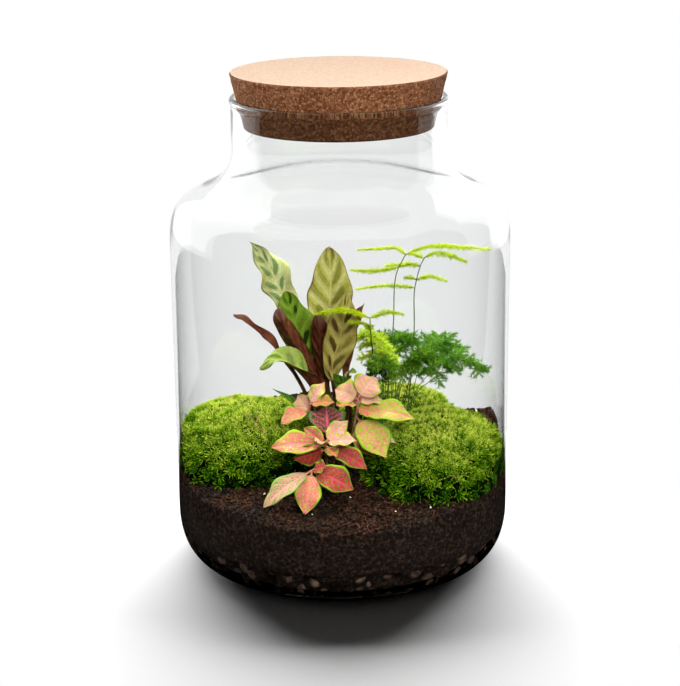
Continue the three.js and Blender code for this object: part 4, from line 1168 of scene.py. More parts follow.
def prayerUpper(name, ground, light, blotch, tint, strength):
    # upper face of a prayer plant's leaf: satin and pillowed between the side veins, with light and shade
    # painted in bands that follow the pillows, a dark oval on most pillows, each of another length, and
    # brownish patches here and there
    material, tree, shader = newMaterial(name, {"Roughness": 0.4, "Specular IOR Level": 0.45})
    along, out, across = leafPlaces(tree)
    place = addNode(tree, "ShaderNodeTexCoord").outputs["Object"]
    wobble = addNode(tree, "ShaderNodeTexNoise", {"Scale": 130, "Detail": 3}, {"Vector": place})
    steps = addNode(tree, "ShaderNodeMath", {"operation": "MULTIPLY", 1: prayer["veins"]}, {0: along})
    slanted = addNode(tree, "ShaderNodeMath", {"operation": "MULTIPLY_ADD", 1: -prayer["slant"]},
                      {0: out, 2: steps})
    bent = addNode(tree, "ShaderNodeMath", {"operation": "MULTIPLY_ADD", 1: 0.5, 2: -0.25}, {0: wobble})
    shifted = addNode(tree, "ShaderNodeMath", {"operation": "ADD"}, {0: slanted, 1: bent})
    # one chance for the pillow on each side of the midrib
    pillow = addNode(tree, "ShaderNodeMath", {"operation": "ROUND"}, {0: shifted})
    half = addNode(tree, "ShaderNodeMath", {"operation": "SIGN"}, {0: across})
    cell = addNode(tree, "ShaderNodeCombineXYZ", {"Z": 1.5 * strength}, {"X": pillow, "Y": half})
    chance = addNode(tree, "ShaderNodeTexWhiteNoise", {}, {"Vector": cell})
    chances = addNode(tree, "ShaderNodeSeparateColor", {}, {"Color": chance.outputs["Color"]})
    fromCrest = addNode(tree, "ShaderNodeMath", {"operation": "PINGPONG", 1: 0.5}, {0: shifted})
    thin = addNode(tree, "ShaderNodeMath", {"operation": "DIVIDE", 1: 0.3}, {0: fromCrest})
    spot = addNode(tree, "ShaderNodeMapRange", {"To Min": 0.28, "To Max": 0.5},
                   {"Value": chances.outputs[1]})
    fromSpot = addNode(tree, "ShaderNodeMath", {"operation": "SUBTRACT"}, {0: out, 1: spot})
    length = addNode(tree, "ShaderNodeMapRange", {"To Min": 0.16, "To Max": 0.38},
                     {"Value": chances.outputs[0]})
    share = addNode(tree, "ShaderNodeMath", {"operation": "DIVIDE"}, {0: fromSpot, 1: length})
    squareA = addNode(tree, "ShaderNodeMath", {"operation": "MULTIPLY"}, {0: thin, 1: thin})
    squareB = addNode(tree, "ShaderNodeMath", {"operation": "MULTIPLY"}, {0: share, 1: share})
    total = addNode(tree, "ShaderNodeMath", {"operation": "ADD"}, {0: squareA, 1: squareB})
    present = addNode(tree, "ShaderNodeMapRange", {"From Min": 0.15, "From Max": 0.35, "To Max": strength},
                      {"Value": chances.outputs[2]})
    oval = addNode(tree, "ShaderNodeMapRange", {"From Min": 1.2, "From Max": 0.6}, {"Value": total})
    shown = addNode(tree, "ShaderNodeMath", {"operation": "MULTIPLY"}, {0: oval, 1: present})
    # painted light and shade following the pillows: the light colour halfway between the rows of ovals, the
    # ground colour along them
    paintedPillowLight = addNode(tree, "ShaderNodeMapRange", {"From Max": 0.5}, {"Value": fromCrest})
    base = addNode(tree, "ShaderNodeMix", {"data_type": "RGBA", 6: linear(ground), 7: linear(light)},
                   {0: paintedPillowLight})
    tinted = addNode(tree, "ShaderNodeMapRange", {"From Min": 0.55, "From Max": 0.72, "To Max": 0.8},
                     {"Value": addNode(tree, "ShaderNodeTexNoise", {"Scale": 55, "Detail": 2},
                                       {"Vector": place})})
    warmed = addNode(tree, "ShaderNodeMix", {"data_type": "RGBA", 7: linear(tint)},
                     {0: tinted, 6: base.outputs[2]})
    spotted = addNode(tree, "ShaderNodeMix", {"data_type": "RGBA", 7: linear(blotch)},
                      {0: shown, 6: warmed.outputs[2]})
    rim = addNode(tree, "ShaderNodeMapRange", {"From Min": 0.9, "From Max": 0.99, "To Max": 0.7},
                  {"Value": out})
    rimmed = addNode(tree, "ShaderNodeMix", {"data_type": "RGBA", 7: linear(tint)},
                     {0: rim, 6: spotted.outputs[2]})
    rib = addNode(tree, "ShaderNodeMapRange", {"From Min": 0.07, "From Max": 0.02, "To Max": 0.8},
                  {"Value": out})
    ribbed = addNode(tree, "ShaderNodeMix", {"data_type": "RGBA", 7: linear(light)},
                     {0: rib, 6: rimmed.outputs[2]})
    fine = addNode(tree, "ShaderNodeTexNoise", {"Scale": 700, "Detail": 4}, {"Vector": place})
    mottled = addNode(tree, "ShaderNodeMapRange", {"From Min": 0.3, "From Max": 0.7, "To Min": 0.82,
                                                   "To Max": 1.1}, {"Value": fine})
    colour = addNode(tree, "ShaderNodeMix", {"data_type": "RGBA", "blend_type": "MULTIPLY", "Factor": 1.0},
                     {6: ribbed.outputs[2], 7: mottled})
    streaks = addNode(tree, "ShaderNodeMath", {"operation": "MULTIPLY", 1: 25.0}, {0: shifted})
    wave = addNode(tree, "ShaderNodeMath", {"operation": "SINE"}, {0: streaks})
    bump = addNode(tree, "ShaderNodeBump", {"Strength": 0.35, "Distance": 0.0002}, {"Height": wave})
    feed(tree, shader, {"Base Color": colour.outputs[2], "Normal": bump})
    glowing(tree, shader, colour.outputs[2], 0.3)
    return material


def prayerUnder(name, dark, light, tip):
    # underside of a prayer plant's leaf: wine red with a soft sheen, and a greyer tip
    material, tree, shader = newMaterial(name, {"Roughness": 0.5, "Specular IOR Level": 0.35})
    along = leafPlaces(tree)[0]
    place = addNode(tree, "ShaderNodeTexCoord").outputs["Object"]
    fine = addNode(tree, "ShaderNodeTexNoise", {"Scale": 300, "Detail": 5}, {"Vector": place})
    colour = addNode(tree, "ShaderNodeValToRGB", {"stops": [(0.3, dark), (0.7, light)]}, {"Fac": fine})
    end = addNode(tree, "ShaderNodeMapRange", {"From Min": 0.82, "From Max": 0.95}, {"Value": along})
    tipped = addNode(tree, "ShaderNodeMix", {"data_type": "RGBA", 7: linear(tip)}, {0: end, 6: colour})
    bump = addNode(tree, "ShaderNodeBump", {"Strength": 0.3, "Distance": 0.0003}, {"Height": fine})
    feed(tree, shader, {"Base Color": tipped.outputs[2], "Normal": bump})
    glowing(tree, shader, tipped.outputs[2], 0.12)
    return material


# One entry for each leaf: where its stalk stands, where its path goes after the soil, where the blade
# starts on it, the blade's shape, and its look
prayerLeaves = [
    {"foot": (-8, 17),
     "path": [(-15, 19, 92), (-25, 21, 121), (-33, 22, 142), (-41, 23, 158), (-51, 22, 172)],
     "bladeAt": 4.2, "halfWidth": 8.8, "face": [(0.2, -1, 0.3)], "fold": (0.4, 0.1), "wave": 3,
     "waves": 2.2, "lobe": 0.16, "peak": 0.42, "pointed": 0.7, "look": "pale"},
    {"foot": (-3, 18),
     "path": [(-8, 18, 90), (-8, 18, 112), (-6.5, 19, 132), (-5.5, 20, 150), (-6.3, 21, 169)],
     "bladeAt": 3.5, "halfWidth": 13, "face": [(0, -1, 0.2)], "fold": (0.25, 0.05), "wave": 1.4,
     "waves": 3, "lobe": 0.04, "pointed": 0.05, "full": 0.72, "look": "olive"},
    {"foot": (0, 9), "path": [(-4, 7, 88), (-5, 4, 104), (-1, 3, 120), (2, 3, 134), (4, 5, 147)],
     "bladeAt": 3.4, "halfWidth": 9.5, "face": [(0.1, -1, 0.2)], "fold": (0.45, 0.1), "wave": 1.2,
     "waves": 2.5, "look": "tan"},
    {"foot": (-8, 12), "path": [(-13, 12, 90), (-19, 12, 108), (-26, 12, 129), (-31, 13, 146)],
     "bladeAt": 3.5, "halfWidth": 10.2, "face": [(0.3, -1, 0.3)], "fold": (0.4, 0.15), "wave": 1.6,
     "waves": 2, "lobe": 0.1, "full": 0.65, "pointed": 0.1, "look": "green"},
    {"foot": (-5.5, 7),
     "path": [(-10, 6, 84), (-16, 4, 100), (-24, 2, 115), (-31, 0, 129), (-34, 3, 139.5)], "bladeAt": 2.9,
     "halfWidth": 9.5, "face": [(-0.35, 0.9, 0.45)], "fold": (1.1, 0.95), "wave": 0.3, "waves": 2,
     "peak": 0.6, "full": 0.4, "pointed": 0, "look": "green"},
    {"foot": (-12.5, 8),
     "path": [(-19, 8, 84), (-28, 8.5, 102), (-38, 9, 115), (-48, 9.5, 125), (-60, 10, 134)],
     "bladeAt": 3.9, "halfWidth": 4.2, "face": [(-0.5, 0.5, 0.75)], "fold": (1.1, 0.9), "wave": 2,
     "waves": 2.6, "lobe": 0.3, "look": "green"},
    {"foot": (-9, 3),
     "path": [(-12, 0, 80), (-18, -4, 97), (-28, -6, 109), (-37, -8, 113), (-45, -9, 107)],
     "bladeAt": 2.7, "halfWidth": 9.3, "face": [(0.2, 0.6, 0.5), (-0.1, -0.75, 0.65)], "fold": (1.1, 0.1),
     "wave": 2, "waves": 1.8, "lobe": 0.1, "peak": 0.42, "look": "fresh green"},
    {"foot": (-4, 12.5), "path": [(-9, 9, 88), (-11, 6, 104), (-12, 5, 120), (-13, 4, 135)],
     "bladeAt": 3.0, "halfWidth": 7, "face": [(0.2, 1, 0.1)], "fold": (0.7, 0.5), "wave": 0.4, "waves": 2,
     "peak": 0.6, "full": 0.5, "pointed": 0, "look": "green"},
    {"foot": (3, 14),
     "path": [(3, 15, 86), (4, 18, 100), (7, 22, 116), (10.5, 26.5, 127), (13.5, 30, 134)],
     "bladeAt": 3.2, "halfWidth": 5.6, "face": [(-0.4, 0.7, 0.6)], "fold": (0.7, 0.2), "wave": 0.8,
     "waves": 2.5, "look": "green"},
    {"foot": (4.5, 6), "path": [(5, 1, 82), (3, -4, 92), (0, -7, 98), (-4.5, -8, 104)], "bladeAt": 3.1,
     "halfWidth": 5.2, "face": [(0.1, -1, 0.35)], "fold": (0.3, 0.1), "wave": 0.3, "waves": 1,
     "look": "deep green"},
    {"foot": (8, 11), "path": [(8, 7, 84), (4, 2, 98), (5, -2, 103), (8.5, -4, 104)], "bladeAt": 3.75,
     "halfWidth": 2.6, "face": [(0, -0.6, 0.8)], "fold": (0.3, 0.1), "wave": 0.7, "waves": 1.5,
     "look": "fresh green"},
    {"foot": (-14, 3), "path": [(-17, 3, 72), (-22, 3, 80), (-30, 4, 86), (-39, 5, 91.5)], "bladeAt": 3,
     "halfWidth": 2.3, "face": [(0, -0.4, 1)], "fold": (0.5, 0.2), "wave": 0.3, "waves": 1.5,
     "look": "deep green"},
]
# Ground, light colour (painted light between the rows of ovals, and the midrib), dark ovals and
# brownish patches, and how strong the ovals are
prayerLooks = {
    "pale": ("#d8e085", "#f0f4b0", "#7ba05e", "#c8c068", 0.85),
    "fresh green": ("#93b040", "#bdcc68", "#6f9440", "#a9a55a", 0.6),
    "olive": ("#b8b640", "#eee88e", "#7c7c28", "#a8663c", 0.7),
    "tan": ("#a39a40", "#d4c26c", "#5a3a1c", "#7a4030", 0.9),
    "green": ("#648a1e", "#8fb034", "#1c360b", "#7d7a2c", 0.95),
    "deep green": ("#2f5d10", "#5f8a24", "#1d3d0b", "#4f6a1c", 0.5),
}


def buildPrayerPlant():
    looks = {look: prayerUpper("prayer plant leaf, " + look, *values)
             for look, values in prayerLooks.items()}
    under = prayerUnder("prayer plant leaf, underside", "#3f1a10", "#74402a", "#7a5648")
    stalk = plainTint("prayer plant stalk", [(0.3, "#3d1f14"), (0.6, "#6a4a26"), (0.8, "#7d7a36")],
                      {"Roughness": 0.5})
    for i, leaf in enumerate(prayerLeaves):
        shaped = {**prayerShape, **leaf, "path": fromSoil(*leaf["foot"], *leaf["path"])}
        made = leafMesh(shaped, prayerGrid, prayerRelief)
        name = f"prayer_leaf_{i + 1}"
        mesh = leafPiece(name, [(*made, [looks[leaf["look"]], under, stalk])])
        keepPiece(name + "_blade", mesh, "prayer_leaf", [name])


buildPrayerPlant()


# Nerve plant

nerve = {"veins": 5.5, "slant": 1.5, "quilt": 0.22, "thick": 0.75, "thin": 0.5, "width": 1.32}
nerveGrid = {"stalkSteps": 4, "bladeSteps": 24, "across": 14, "thickness": 0.4, "rooted": False}
nerveShape = {"bladeAt": 0.2, "stalk": 0.6, "peak": 0.43, "full": 0.85, "pointed": 0.5, "fold": (0.3, 0.15),
              "wave": 0.8, "waves": 2.2, "lobe": 0.03}


def nerveRelief(u, s, half):
    # the side veins lie sunk, and the blade swells between them
    phase = 2 * math.pi * (nerve["veins"] * u - nerve["slant"] * abs(s))
    groove = 0.3 * math.exp(-(s * half / 0.6) ** 2)
    return -nerve["quilt"] * (math.cos(phase) * (1 - abs(s)) * min(1, abs(s) * 3)) - groove


def nerveLeaf(name, ground, vein, edge, cover):
    # nerve plant leaf: a net of pink veins over green cells about 1.7 mm across, and a plain green edge.
    # The cover says how much of the green the veins hide.
    material, tree, shader = newMaterial(name, {"Roughness": 0.36, "Specular IOR Level": 0.45})
    along, out = leafPlaces(tree)[:2]
    place = addNode(tree, "ShaderNodeTexCoord").outputs["Object"]
    net = addNode(tree, "ShaderNodeTexVoronoi", {"feature": "DISTANCE_TO_EDGE", "Scale": 600},
                  {"Vector": place})
    fine = addNode(tree, "ShaderNodeTexNoise", {"Scale": 500, "Detail": 3}, {"Vector": place})
    wide = addNode(tree, "ShaderNodeMath", {"operation": "MULTIPLY_ADD", 1: -0.3, 2: 0.15}, {0: fine})
    uneven = addNode(tree, "ShaderNodeMath", {"operation": "ADD"}, {0: net, 1: wide})
    veined = addNode(tree, "ShaderNodeMapRange",
                     {"From Min": 0.09 + 0.2 * cover, "From Max": 0.03 + 0.2 * cover}, {"Value": uneven})
    steps = addNode(tree, "ShaderNodeMath", {"operation": "MULTIPLY", 1: nerve["veins"]}, {0: along})
    slanted = addNode(tree, "ShaderNodeMath", {"operation": "MULTIPLY_ADD", 1: -nerve["slant"]},
                      {0: out, 2: steps})
    bent = addNode(tree, "ShaderNodeMath", {"operation": "MULTIPLY_ADD", 1: 0.35}, {0: fine, 2: slanted})
    cell = addNode(tree, "ShaderNodeMath", {"operation": "PINGPONG", 1: 0.5}, {0: bent})
    side = addNode(tree, "ShaderNodeMapRange", {"From Min": 0.1, "From Max": 0.03}, {"Value": cell})
    rib = addNode(tree, "ShaderNodeMapRange", {"From Min": 0.1, "From Max": 0.04}, {"Value": out})
    big = addNode(tree, "ShaderNodeMath", {"operation": "MAXIMUM"}, {0: side, 1: rib})
    allVeins = addNode(tree, "ShaderNodeMath", {"operation": "MAXIMUM"}, {0: big, 1: veined})
    ragged = addNode(tree, "ShaderNodeMath", {"operation": "MULTIPLY_ADD", 1: 0.16}, {0: fine, 2: out})
    inside = addNode(tree, "ShaderNodeMapRange", {"From Min": 0.95, "From Max": 0.86}, {"Value": ragged})
    shown = addNode(tree, "ShaderNodeMath", {"operation": "MULTIPLY"}, {0: allVeins, 1: inside})
    areas = addNode(tree, "ShaderNodeTexNoise", {"Scale": 110, "Detail": 3}, {"Vector": place})
    green = addNode(tree, "ShaderNodeMix", {"data_type": "RGBA", 6: linear(edge), 7: linear(ground)},
                    {0: inside})
    pale = [min(1, v * 1.2 + 0.04) for v in linear(vein)[:3]] + [1.0]
    pink = addNode(tree, "ShaderNodeMix", {"data_type": "RGBA", 6: linear(vein), 7: pale}, {0: big})
    dim = addNode(tree, "ShaderNodeMapRange", {"From Min": 0.3, "From Max": 0.7, "To Min": 0.8,
                                               "To Max": 1.1}, {"Value": areas})
    colour = addNode(tree, "ShaderNodeMix", {"data_type": "RGBA"},
                     {0: shown, 6: green.outputs[2], 7: pink.outputs[2]})
    shaded = addNode(tree, "ShaderNodeMix", {"data_type": "RGBA", "blend_type": "MULTIPLY", "Factor": 1.0},
                     {6: colour.outputs[2], 7: dim})
    bump = addNode(tree, "ShaderNodeBump", {"Strength": 0.4, "Distance": 0.0003, "invert": True},
                   {"Height": allVeins})
    feed(tree, shader, {"Base Color": shaded.outputs[2], "Normal": bump})
    glowing(tree, shader, shaded.outputs[2], 0.3)
    return material


# Ground, veins, edge, and how much of the ground the veins cover
nerveLooks = {
    "blush": ("#dce650", "#ffaca0", "#cce044", 0.66),
    "rose": ("#bcd038", "#f27d76", "#b4d436", 0.6),
    "crimson": ("#7f8c26", "#c44246", "#a0c834", 0.68),
    "wine red": ("#3f4a14", "#a63028", "#8fb02c", 0.75),
    "dusty": ("#86a850", "#dd9c86", "#9cc058", 0.42),
    "amber": ("#bac238", "#f28068", "#b8d03e", 0.45),
    "lime": ("#c2e03a", "#f48c7c", "#b0da30", 0.1),
    "fresh green": ("#75ad58", "#f0a8a0", "#8cbd60", 0.25),
    "dark green": ("#34582a", "#e0566e", "#5f8f4a", 0.05),
}
# A leaf is foot, tip, half width, face, arch and look
nerveShoots = {
    "nerve_plant_front": {"foot": (-12, -38), "stem": [(-13, -46, 60), (-16, -53, 64.5)], "leaves": [
        [(-16, -53, 64.5), (-20, -70, 45.5), 5.6, (0, -0.9, 0.5), 1.5, "rose"],
        [(-16, -53, 64.5), (6, -61, 56), 6.2, (0.1, -0.75, 0.65), 2.5, "crimson"],
        [(-16, -53, 64.5), (-42, -67, 48.5), 5.2, (-0.2, -0.5, 0.85), 2.5, "dusty"],
        [(-16, -53, 64.5), (-8.5, -57, 67.5), 3.6, (0.2, -0.6, 0.8), 1, "crimson"],
    ]},
    "nerve_plant_middle": {"foot": (-8, -30), "stem": [(-8.5, -36, 64), (-9, -42, 76)], "leaves": [
        [(-9, -41, 70), (-26, -50, 70), 4.8, (0, -1, 0.25), 1, "wine red"],
        [(-9, -42, 74), (-38, -46, 75), 6, (-0.1, -0.6, 0.8), 2.5, "rose"],
        [(-9, -42, 75), (-20.5, -38, 83.5), 3.7, (-0.4, -0.8, 0.5), 1, "rose"],
        [(-9, -42, 76), (3.5, -36, 86.5), 4, (-0.3, -0.8, 0.5), 1, "blush"],
        [(-9, -42, 75.5), (8, -48, 79), 3.9, (0, -0.5, 0.85), 1.5, "blush"],
        [(-9, -41.5, 73), (13.5, -52, 64), 4.7, (0.2, -0.7, 0.7), 3, "crimson"],
        [(-9, -42, 75.5), (-13, -51, 79), 3, (0, -0.3, 1), 0.8, "blush"],
        [(-9, -41.5, 72), (-3, -51, 71), 3, (0.1, -0.5, 0.9), 0.8, "amber"],
    ]},
    "nerve_plant_right": {"foot": (1, -21), "stem": [(5, -25, 72), (7.5, -27, 84), (9, -26, 96)],
                          "leaves": [
        [(9, -26, 95), (-3.5, -22, 99.5), 6, (0, -0.75, 0.7), 1.5, "blush"],
        [(9, -26, 96), (18.5, -18, 105), 6.6, (0, -0.85, 0.55), 1.5, "blush"],
        [(9, -27, 92), (-3, -32, 93.5), 4.8, (0.1, -0.2, 1), 1.5, "amber"],
        [(9, -26, 93), (24, -24, 93), 3.2, (0.1, -0.4, 0.9), 1.5, "blush"],
        [(9, -27, 90), (18, -31, 88), 3.4, (0.2, -0.7, 0.7), 1, "amber"],
        [(8, -26.5, 88), (39.5, -31, 85), 6, (0.1, -0.55, 0.85), 4, "lime"],
        [(8, -27.5, 85.5), (23.5, -45, 68), 7.4, (0.3, -0.85, 0.5), 2, "lime"],
        [(7, -27, 80), (18, -40, 66.5), 5.6, (0.1, -0.8, 0.6), 1, "amber"],
        [(7, -26.5, 79), (29, -37, 73.5), 5, (0.2, -0.7, 0.7), 2, "fresh green"],
        [(9, -25, 91), (15, -9, 92), 6, (0, 0.5, 0.85), 2.5, "dark green"],
    ]},
    "nerve_plant_left": {"foot": (-18, -17), "stem": [(-18, -18, 76), (-17.5, -20, 91)], "leaves": [
        [(-16, -20.5, 86), (-33, -28, 81.5), 4.8, (-0.1, -0.4, 0.9), 2.5, "rose"],
        [(-15.5, -20, 90), (-9, -15, 101.5), 3.6, (-0.5, -0.8, 0.3), 1, "blush"],
        [(-15, -20.5, 90), (-3.5, -25.5, 93), 3.2, (0, -0.5, 0.85), 1.5, "amber"],
        [(-16, -19.5, 85), (-24, -12, 93), 4.2, (-0.3, -0.7, 0.7), 1, "blush"],
        [(-16, -18.5, 82), (-28, -9, 79), 5, (-0.3, 0.5, 0.8), 2, "dark green"],
    ]},
    "nerve_plant_centre": {"foot": (-5, -20), "stem": [(-6, -27, 66), (-7.5, -33, 76)], "leaves": [
        [(-7.5, -33, 76), (-8.5, -13, 86.5), 8.2, (0, -0.45, 0.9), 1.5, "dark green"],
        [(-7, -30.5, 71), (6, -36.5, 75), 4, (0.2, -0.6, 0.8), 1, "blush"],
        [(-8, -31, 72), (-22, -32, 71.5), 4.4, (-0.2, -0.6, 0.8), 1.5, "dark green"],
    ]},
}


def tube(route, radii, sides):
    # closed round stem along a route
    points, faces = [], []
    across = None
    for i, spot in enumerate(route):
        along = (route[min(i + 1, len(route) - 1)] - route[max(i - 1, 0)]).normalized()
        if across is None:
            across = along.orthogonal().normalized()
        across = (across - along * across.dot(along)).normalized()
        other = along.cross(across)
        radius = lerp(radii[0], radii[1], i / (len(route) - 1))
        for k in range(sides):
            angle = 2 * math.pi * k / sides
            points.append(spot + (across * math.cos(angle) + other * math.sin(angle)) * radius)
    for i in range(len(route) - 1):
        for k in range(sides):
            a, b = i * sides + k, i * sides + (k + 1) % sides
            faces.append((a, b, b + sides, a + sides))
    faces.append(tuple(reversed(range(sides))))
    faces.append(tuple(range((len(route) - 1) * sides, len(route) * sides)))
    return points, faces, [(0, 0.5)] * len(points), [0] * len(faces)


def buildNervePlant():
    looks = {look: nerveLeaf("nerve plant leaf, " + look, *values)
             for look, values in nerveLooks.items()}
    under = plainTint("nerve plant leaf, underside", [(0.3, "#8a8a4a"), (0.7, "#a9a860")],
                      {"Roughness": 0.6})
    stemSkin = plainTint("nerve plant stem", [(0.3, "#9a5f4a"), (0.7, "#c98a6a")], {"Roughness": 0.6})
    for name, shoot in nerveShoots.items():
        stem = fromSoil(*shoot["foot"], *shoot["stem"])
        route = [stem[0]] + spaced(stem[2:], 12)
        parts = [(*tube(route, (nerve["thick"], nerve["thin"]), 8), [stemSkin])]
        for foot, tip, halfWidth, face, arch, look in shoot["leaves"]:
            start, tip = nearestOn(route, Vector(foot)), Vector(tip)
            middle = start.lerp(tip, 0.55) + Vector(face).normalized() * arch
            leaf = {**nerveShape, "path": [start, middle, tip], "halfWidth": nerve["width"] * halfWidth,
                    "face": [face]}
            parts.append((*leafMesh(leaf, nerveGrid, nerveRelief), [looks[look], under, stemSkin]))
        keepPiece(name + "_shoot", leafPiece(name, parts), "nerve_leaf", [name])


buildNervePlant()
print("prayer plant and nerve plant made")


# Litter on the ground: white perlite grains, bits of twig by where they pass, and root fibres
litter = {
    "grainSize": (0.5, 0.9), "twig": (0.42, 0.26), "fibre": (0.2, 0.1), "fibres": 70, "fibreLength": (3, 8),
    "grains": [(-42, -47), (-26, -26), (-11, -58.5), (4, -51), (-57, -43), (28, -66), (46.5, -64),
               (-31, -40.5), (-16, -69), (17.5, -40), (79, 33), (83, 30)],
    "twigs": [[(-52, -10), (-46, -17.5), (-41, -21)], [(-47.5, -15.5), (-46, -10), (-44.5, -4.5)],
              [(-66, 15), (-64, 17), (-62, 18.5)], [(81, -35), (79, -39), (76, -43.5)],
              [(61.5, -52.5), (59.5, -54), (57.5, -55.5)]],
}


def groundAt(x, y):
    # height of the soil, or of the moss over it
    domes = [domeHeight(cushion, x, y) for cushion in cushions.values() if cushionShare(cushion, x, y) < 1]
    return max([soilHeight(x, y)] + domes)


def buildLitter():
    random = Random(77)
    perlite = plainTint("perlite, expanded", [(0.3, "#c9c2b4"), (0.7, "#f2eee6")], {"Roughness": 0.9})
    bark = plainTint("twig, dead", [(0.3, "#7a4a34"), (0.6, "#a8785a"), (0.8, "#cdb094")],
                     {"Roughness": 0.85})
    fibre = plainTint("root fibre, dry", [(0.3, "#4a2414"), (0.7, "#7d452a")], {"Roughness": 0.8})
    spots = meshOf("grain_spots", [(x, y, groundAt(x, y) + 0.4) for x, y in litter["grains"]], [])
    setAttribute(spots, "size", [random.uniform(*litter["grainSize"]) * mm for _ in litter["grains"]])
    item = crumbItem("grain", 9)
    grains = grown("grains", spots, placeTree(), {"Item": item, "Seed": 3, "Material": perlite})
    bpy.data.objects.remove(item)
    parts = []
    for line in litter["twigs"]:
        route = spaced([Vector((x, y, groundAt(x, y) + 1.6)) for x, y in line], 8)
        parts.append((*tube(route, litter["twig"], 6), [bark]))
    while len(parts) < litter["fibres"] + len(litter["twigs"]):
        angle, reach = random.uniform(0, 2 * math.pi), 86 * math.sqrt(random.random())
        x, y = reach * math.cos(angle), reach * math.sin(angle)
        way, length = random.uniform(0, 2 * math.pi), random.uniform(*litter["fibreLength"]) / 2
        lift, bow = random.uniform(0.8, 2), random.uniform(-2, 2)
        if underMoss(x, y):
            continue
        dx, dy = length * math.cos(way), length * math.sin(way)
        line = [(x - dx, y - dy, 0.2), (x + bow * dy / length, y - bow * dx / length, lift),
                (x + dx, y + dy, 0.4)]
        route = spaced([Vector((a, b, soilHeight(a, b) + c)) for a, b, c in line], 8)
        parts.append((*tube(route, litter["fibre"], 4), [fibre]))
    mesh = joined("ground_litter", [leafPiece("twigs", parts), grains])
    keepInside(mesh, 0.3)
    keepPiece("ground_litter", mesh, "soil")


buildLitter()


# Asparagus fern

# Needles: how far apart along a twig, how many at a time and how long; twigs: how far apart, and how far
# off level they stand
fern = {
    "thick": 0.4, "thin": 0.27, "tip": 0.13, "needleWidth": 0.2, "lean": 0.8, "bushStem": 0.7,
    "spraySpacing": 0.55, "sprayNeedles": 2, "sprayNeedle": 2.1, "sprayStep": 1.2, "sprayFlat": 0.08,
    "bushSpacing": 0.5, "bushNeedles": 3, "bushNeedle": 2.2, "bushStep": 1.1, "bushFlat": 0.9,
    "bushTwig": 6.2, "bushSeed": 61,
}
# Needle colours, darkest to lightest, mixed by a random tint for each needle and by place
fernLooks = {
    "lime": ("#93ae08", "#c2d60e", "#e4ea30"),
    # fresh is lighter than the other fronds' needles, partly as painted light for the frond whose top is
    # lit most
    "fresh": ("#a4c81c", "#d8ee38", "#f6fa68"),
    "green": ("#214a08", "#528c18", "#a4c840"),
    "pale green": ("#2c5a0c", "#5a9420", "#9cc44c"),
    "deep green": ("#1e420a", "#437a16", "#88b230"),
}
# A spray is its path and how far its side twigs reach
highStems = {
    "fern_high_left": {"foot": (25, 22), "seed": 51,
        "stem": [(28, 24, 100), (30, 25, 124), (31, 25, 149), (37, 24, 162)],
        "sprays": [
            ([(39.1, 23, 164.4), (47.4, 22, 166.3), (57.9, 20, 167.5), (72.2, 17, 167.3),
              (84, 12.4, 168)], 6),
            ([(35.8, 24, 162.5), (31.3, 26, 165.5), (21.3, 28, 164.8), (10, 30, 163.5)], 5),
            ([(33, 25, 154.7), (25.7, 25, 153.6), (16.7, 25, 152.8), (6, 25, 153.5)], 4.5),
            ([(33, 25, 155.3), (38, 23.5, 156.8), (43, 22, 157.1)], 4),
        ]},
    "fern_high_right": {"foot": (37, 24), "seed": 52,
        "stem": [(40.5, 28, 95), (42, 30, 118), (42, 30, 140), (45, 30, 153), (48, 29, 159)],
        "sprays": [
            ([(47.8, 29, 159.4), (53.9, 27, 161.5), (62.8, 25, 160.8), (71.6, 23, 158.3)], 6.5),
            ([(47.3, 30, 158.5), (42.8, 32, 159.8), (38.9, 33, 159.6)], 4.5),
            ([(45, 30, 154.5), (39.5, 32, 154.3), (32.7, 34, 153.6), (26, 35, 153.1)], 4.5),
            ([(43.9, 30, 146.9), (49.5, 29, 148.9), (55.1, 28, 148.5), (60.1, 26, 146.9)], 4.5),
            ([(43.9, 30, 146.9), (40, 31, 147.8), (36.6, 32, 147.6)], 4),
            ([(42.8, 30, 142.2), (34.9, 32, 142.9), (22.5, 35, 142.2), (8.8, 38, 139.8)], 4.5),
        ]},
    "fern_low_left": {"foot": (20, 17), "seed": 53,
        "stem": [(19, 13, 96), (17, 5, 118), (16, -4, 134.6)],
        "sprays": [
            ([(17.2, -4, 136.3), (5.1, -6.5, 139.4), (-3.1, -8, 139.9), (-14.1, -9.5, 138.7)], 6.5),
            ([(17.2, -4, 136.3), (26, -1, 137.1), (34.5, 3, 134.7)], 6),
            ([(21.7, 3, 126.7), (13.8, -5, 131.5), (4.5, -10, 134.2)], 4.5),
        ]},
}
# Branches of a frond: where along its spine, how far out, and how much they droop
bushBranches = {"at": (0.08, 0.2, 0.32, 0.42, 0.52, 0.62, 0.72, 0.82),
                "reach": (13, 15, 15, 14, 13, 12, 10, 8), "forward": 0.6, "drop": 0.12, "roll": 1.1}
bushFronds = {
    "fern_bush_1": {"foot": (22, 26), "plume": [(23, 23, 98), (22, 19, 112), (18, 15, 120), (12, 11, 120)],
                    "spread": 0.85, "look": "fresh"},
    "fern_bush_2": {"foot": (26, 16), "plume": [(25, 12, 91), (23, 6, 103), (22, -2, 110), (21, -10, 109)],
                    "spread": 0.7, "look": "green"},
    "fern_bush_3": {"foot": (31, 20), "plume": [(34, 16, 95), (40, 9, 107), (46, 2, 113), (52, -6, 113)],
                    "spread": 0.7, "look": "green"},
    "fern_bush_4": {"foot": (35.5, 20.2),
                    "plume": [(43, 20, 93), (57, 20, 101), (71, 18, 103), (84, 13, 98)],
                    "spread": 0.85, "look": "pale green"},
    "fern_bush_5": {"foot": (29, 27), "plume": [(29, 33, 96), (31, 40, 105), (36, 46, 108), (43, 52, 106)],
                    "spread": 0.9, "look": "deep green"},
    "fern_bush_6": {"foot": (34, 27), "plume": [(41, 32, 97), (50, 36, 105), (59, 38, 107), (69, 36, 105)],
                    "spread": 0.85, "look": "pale green"},
}


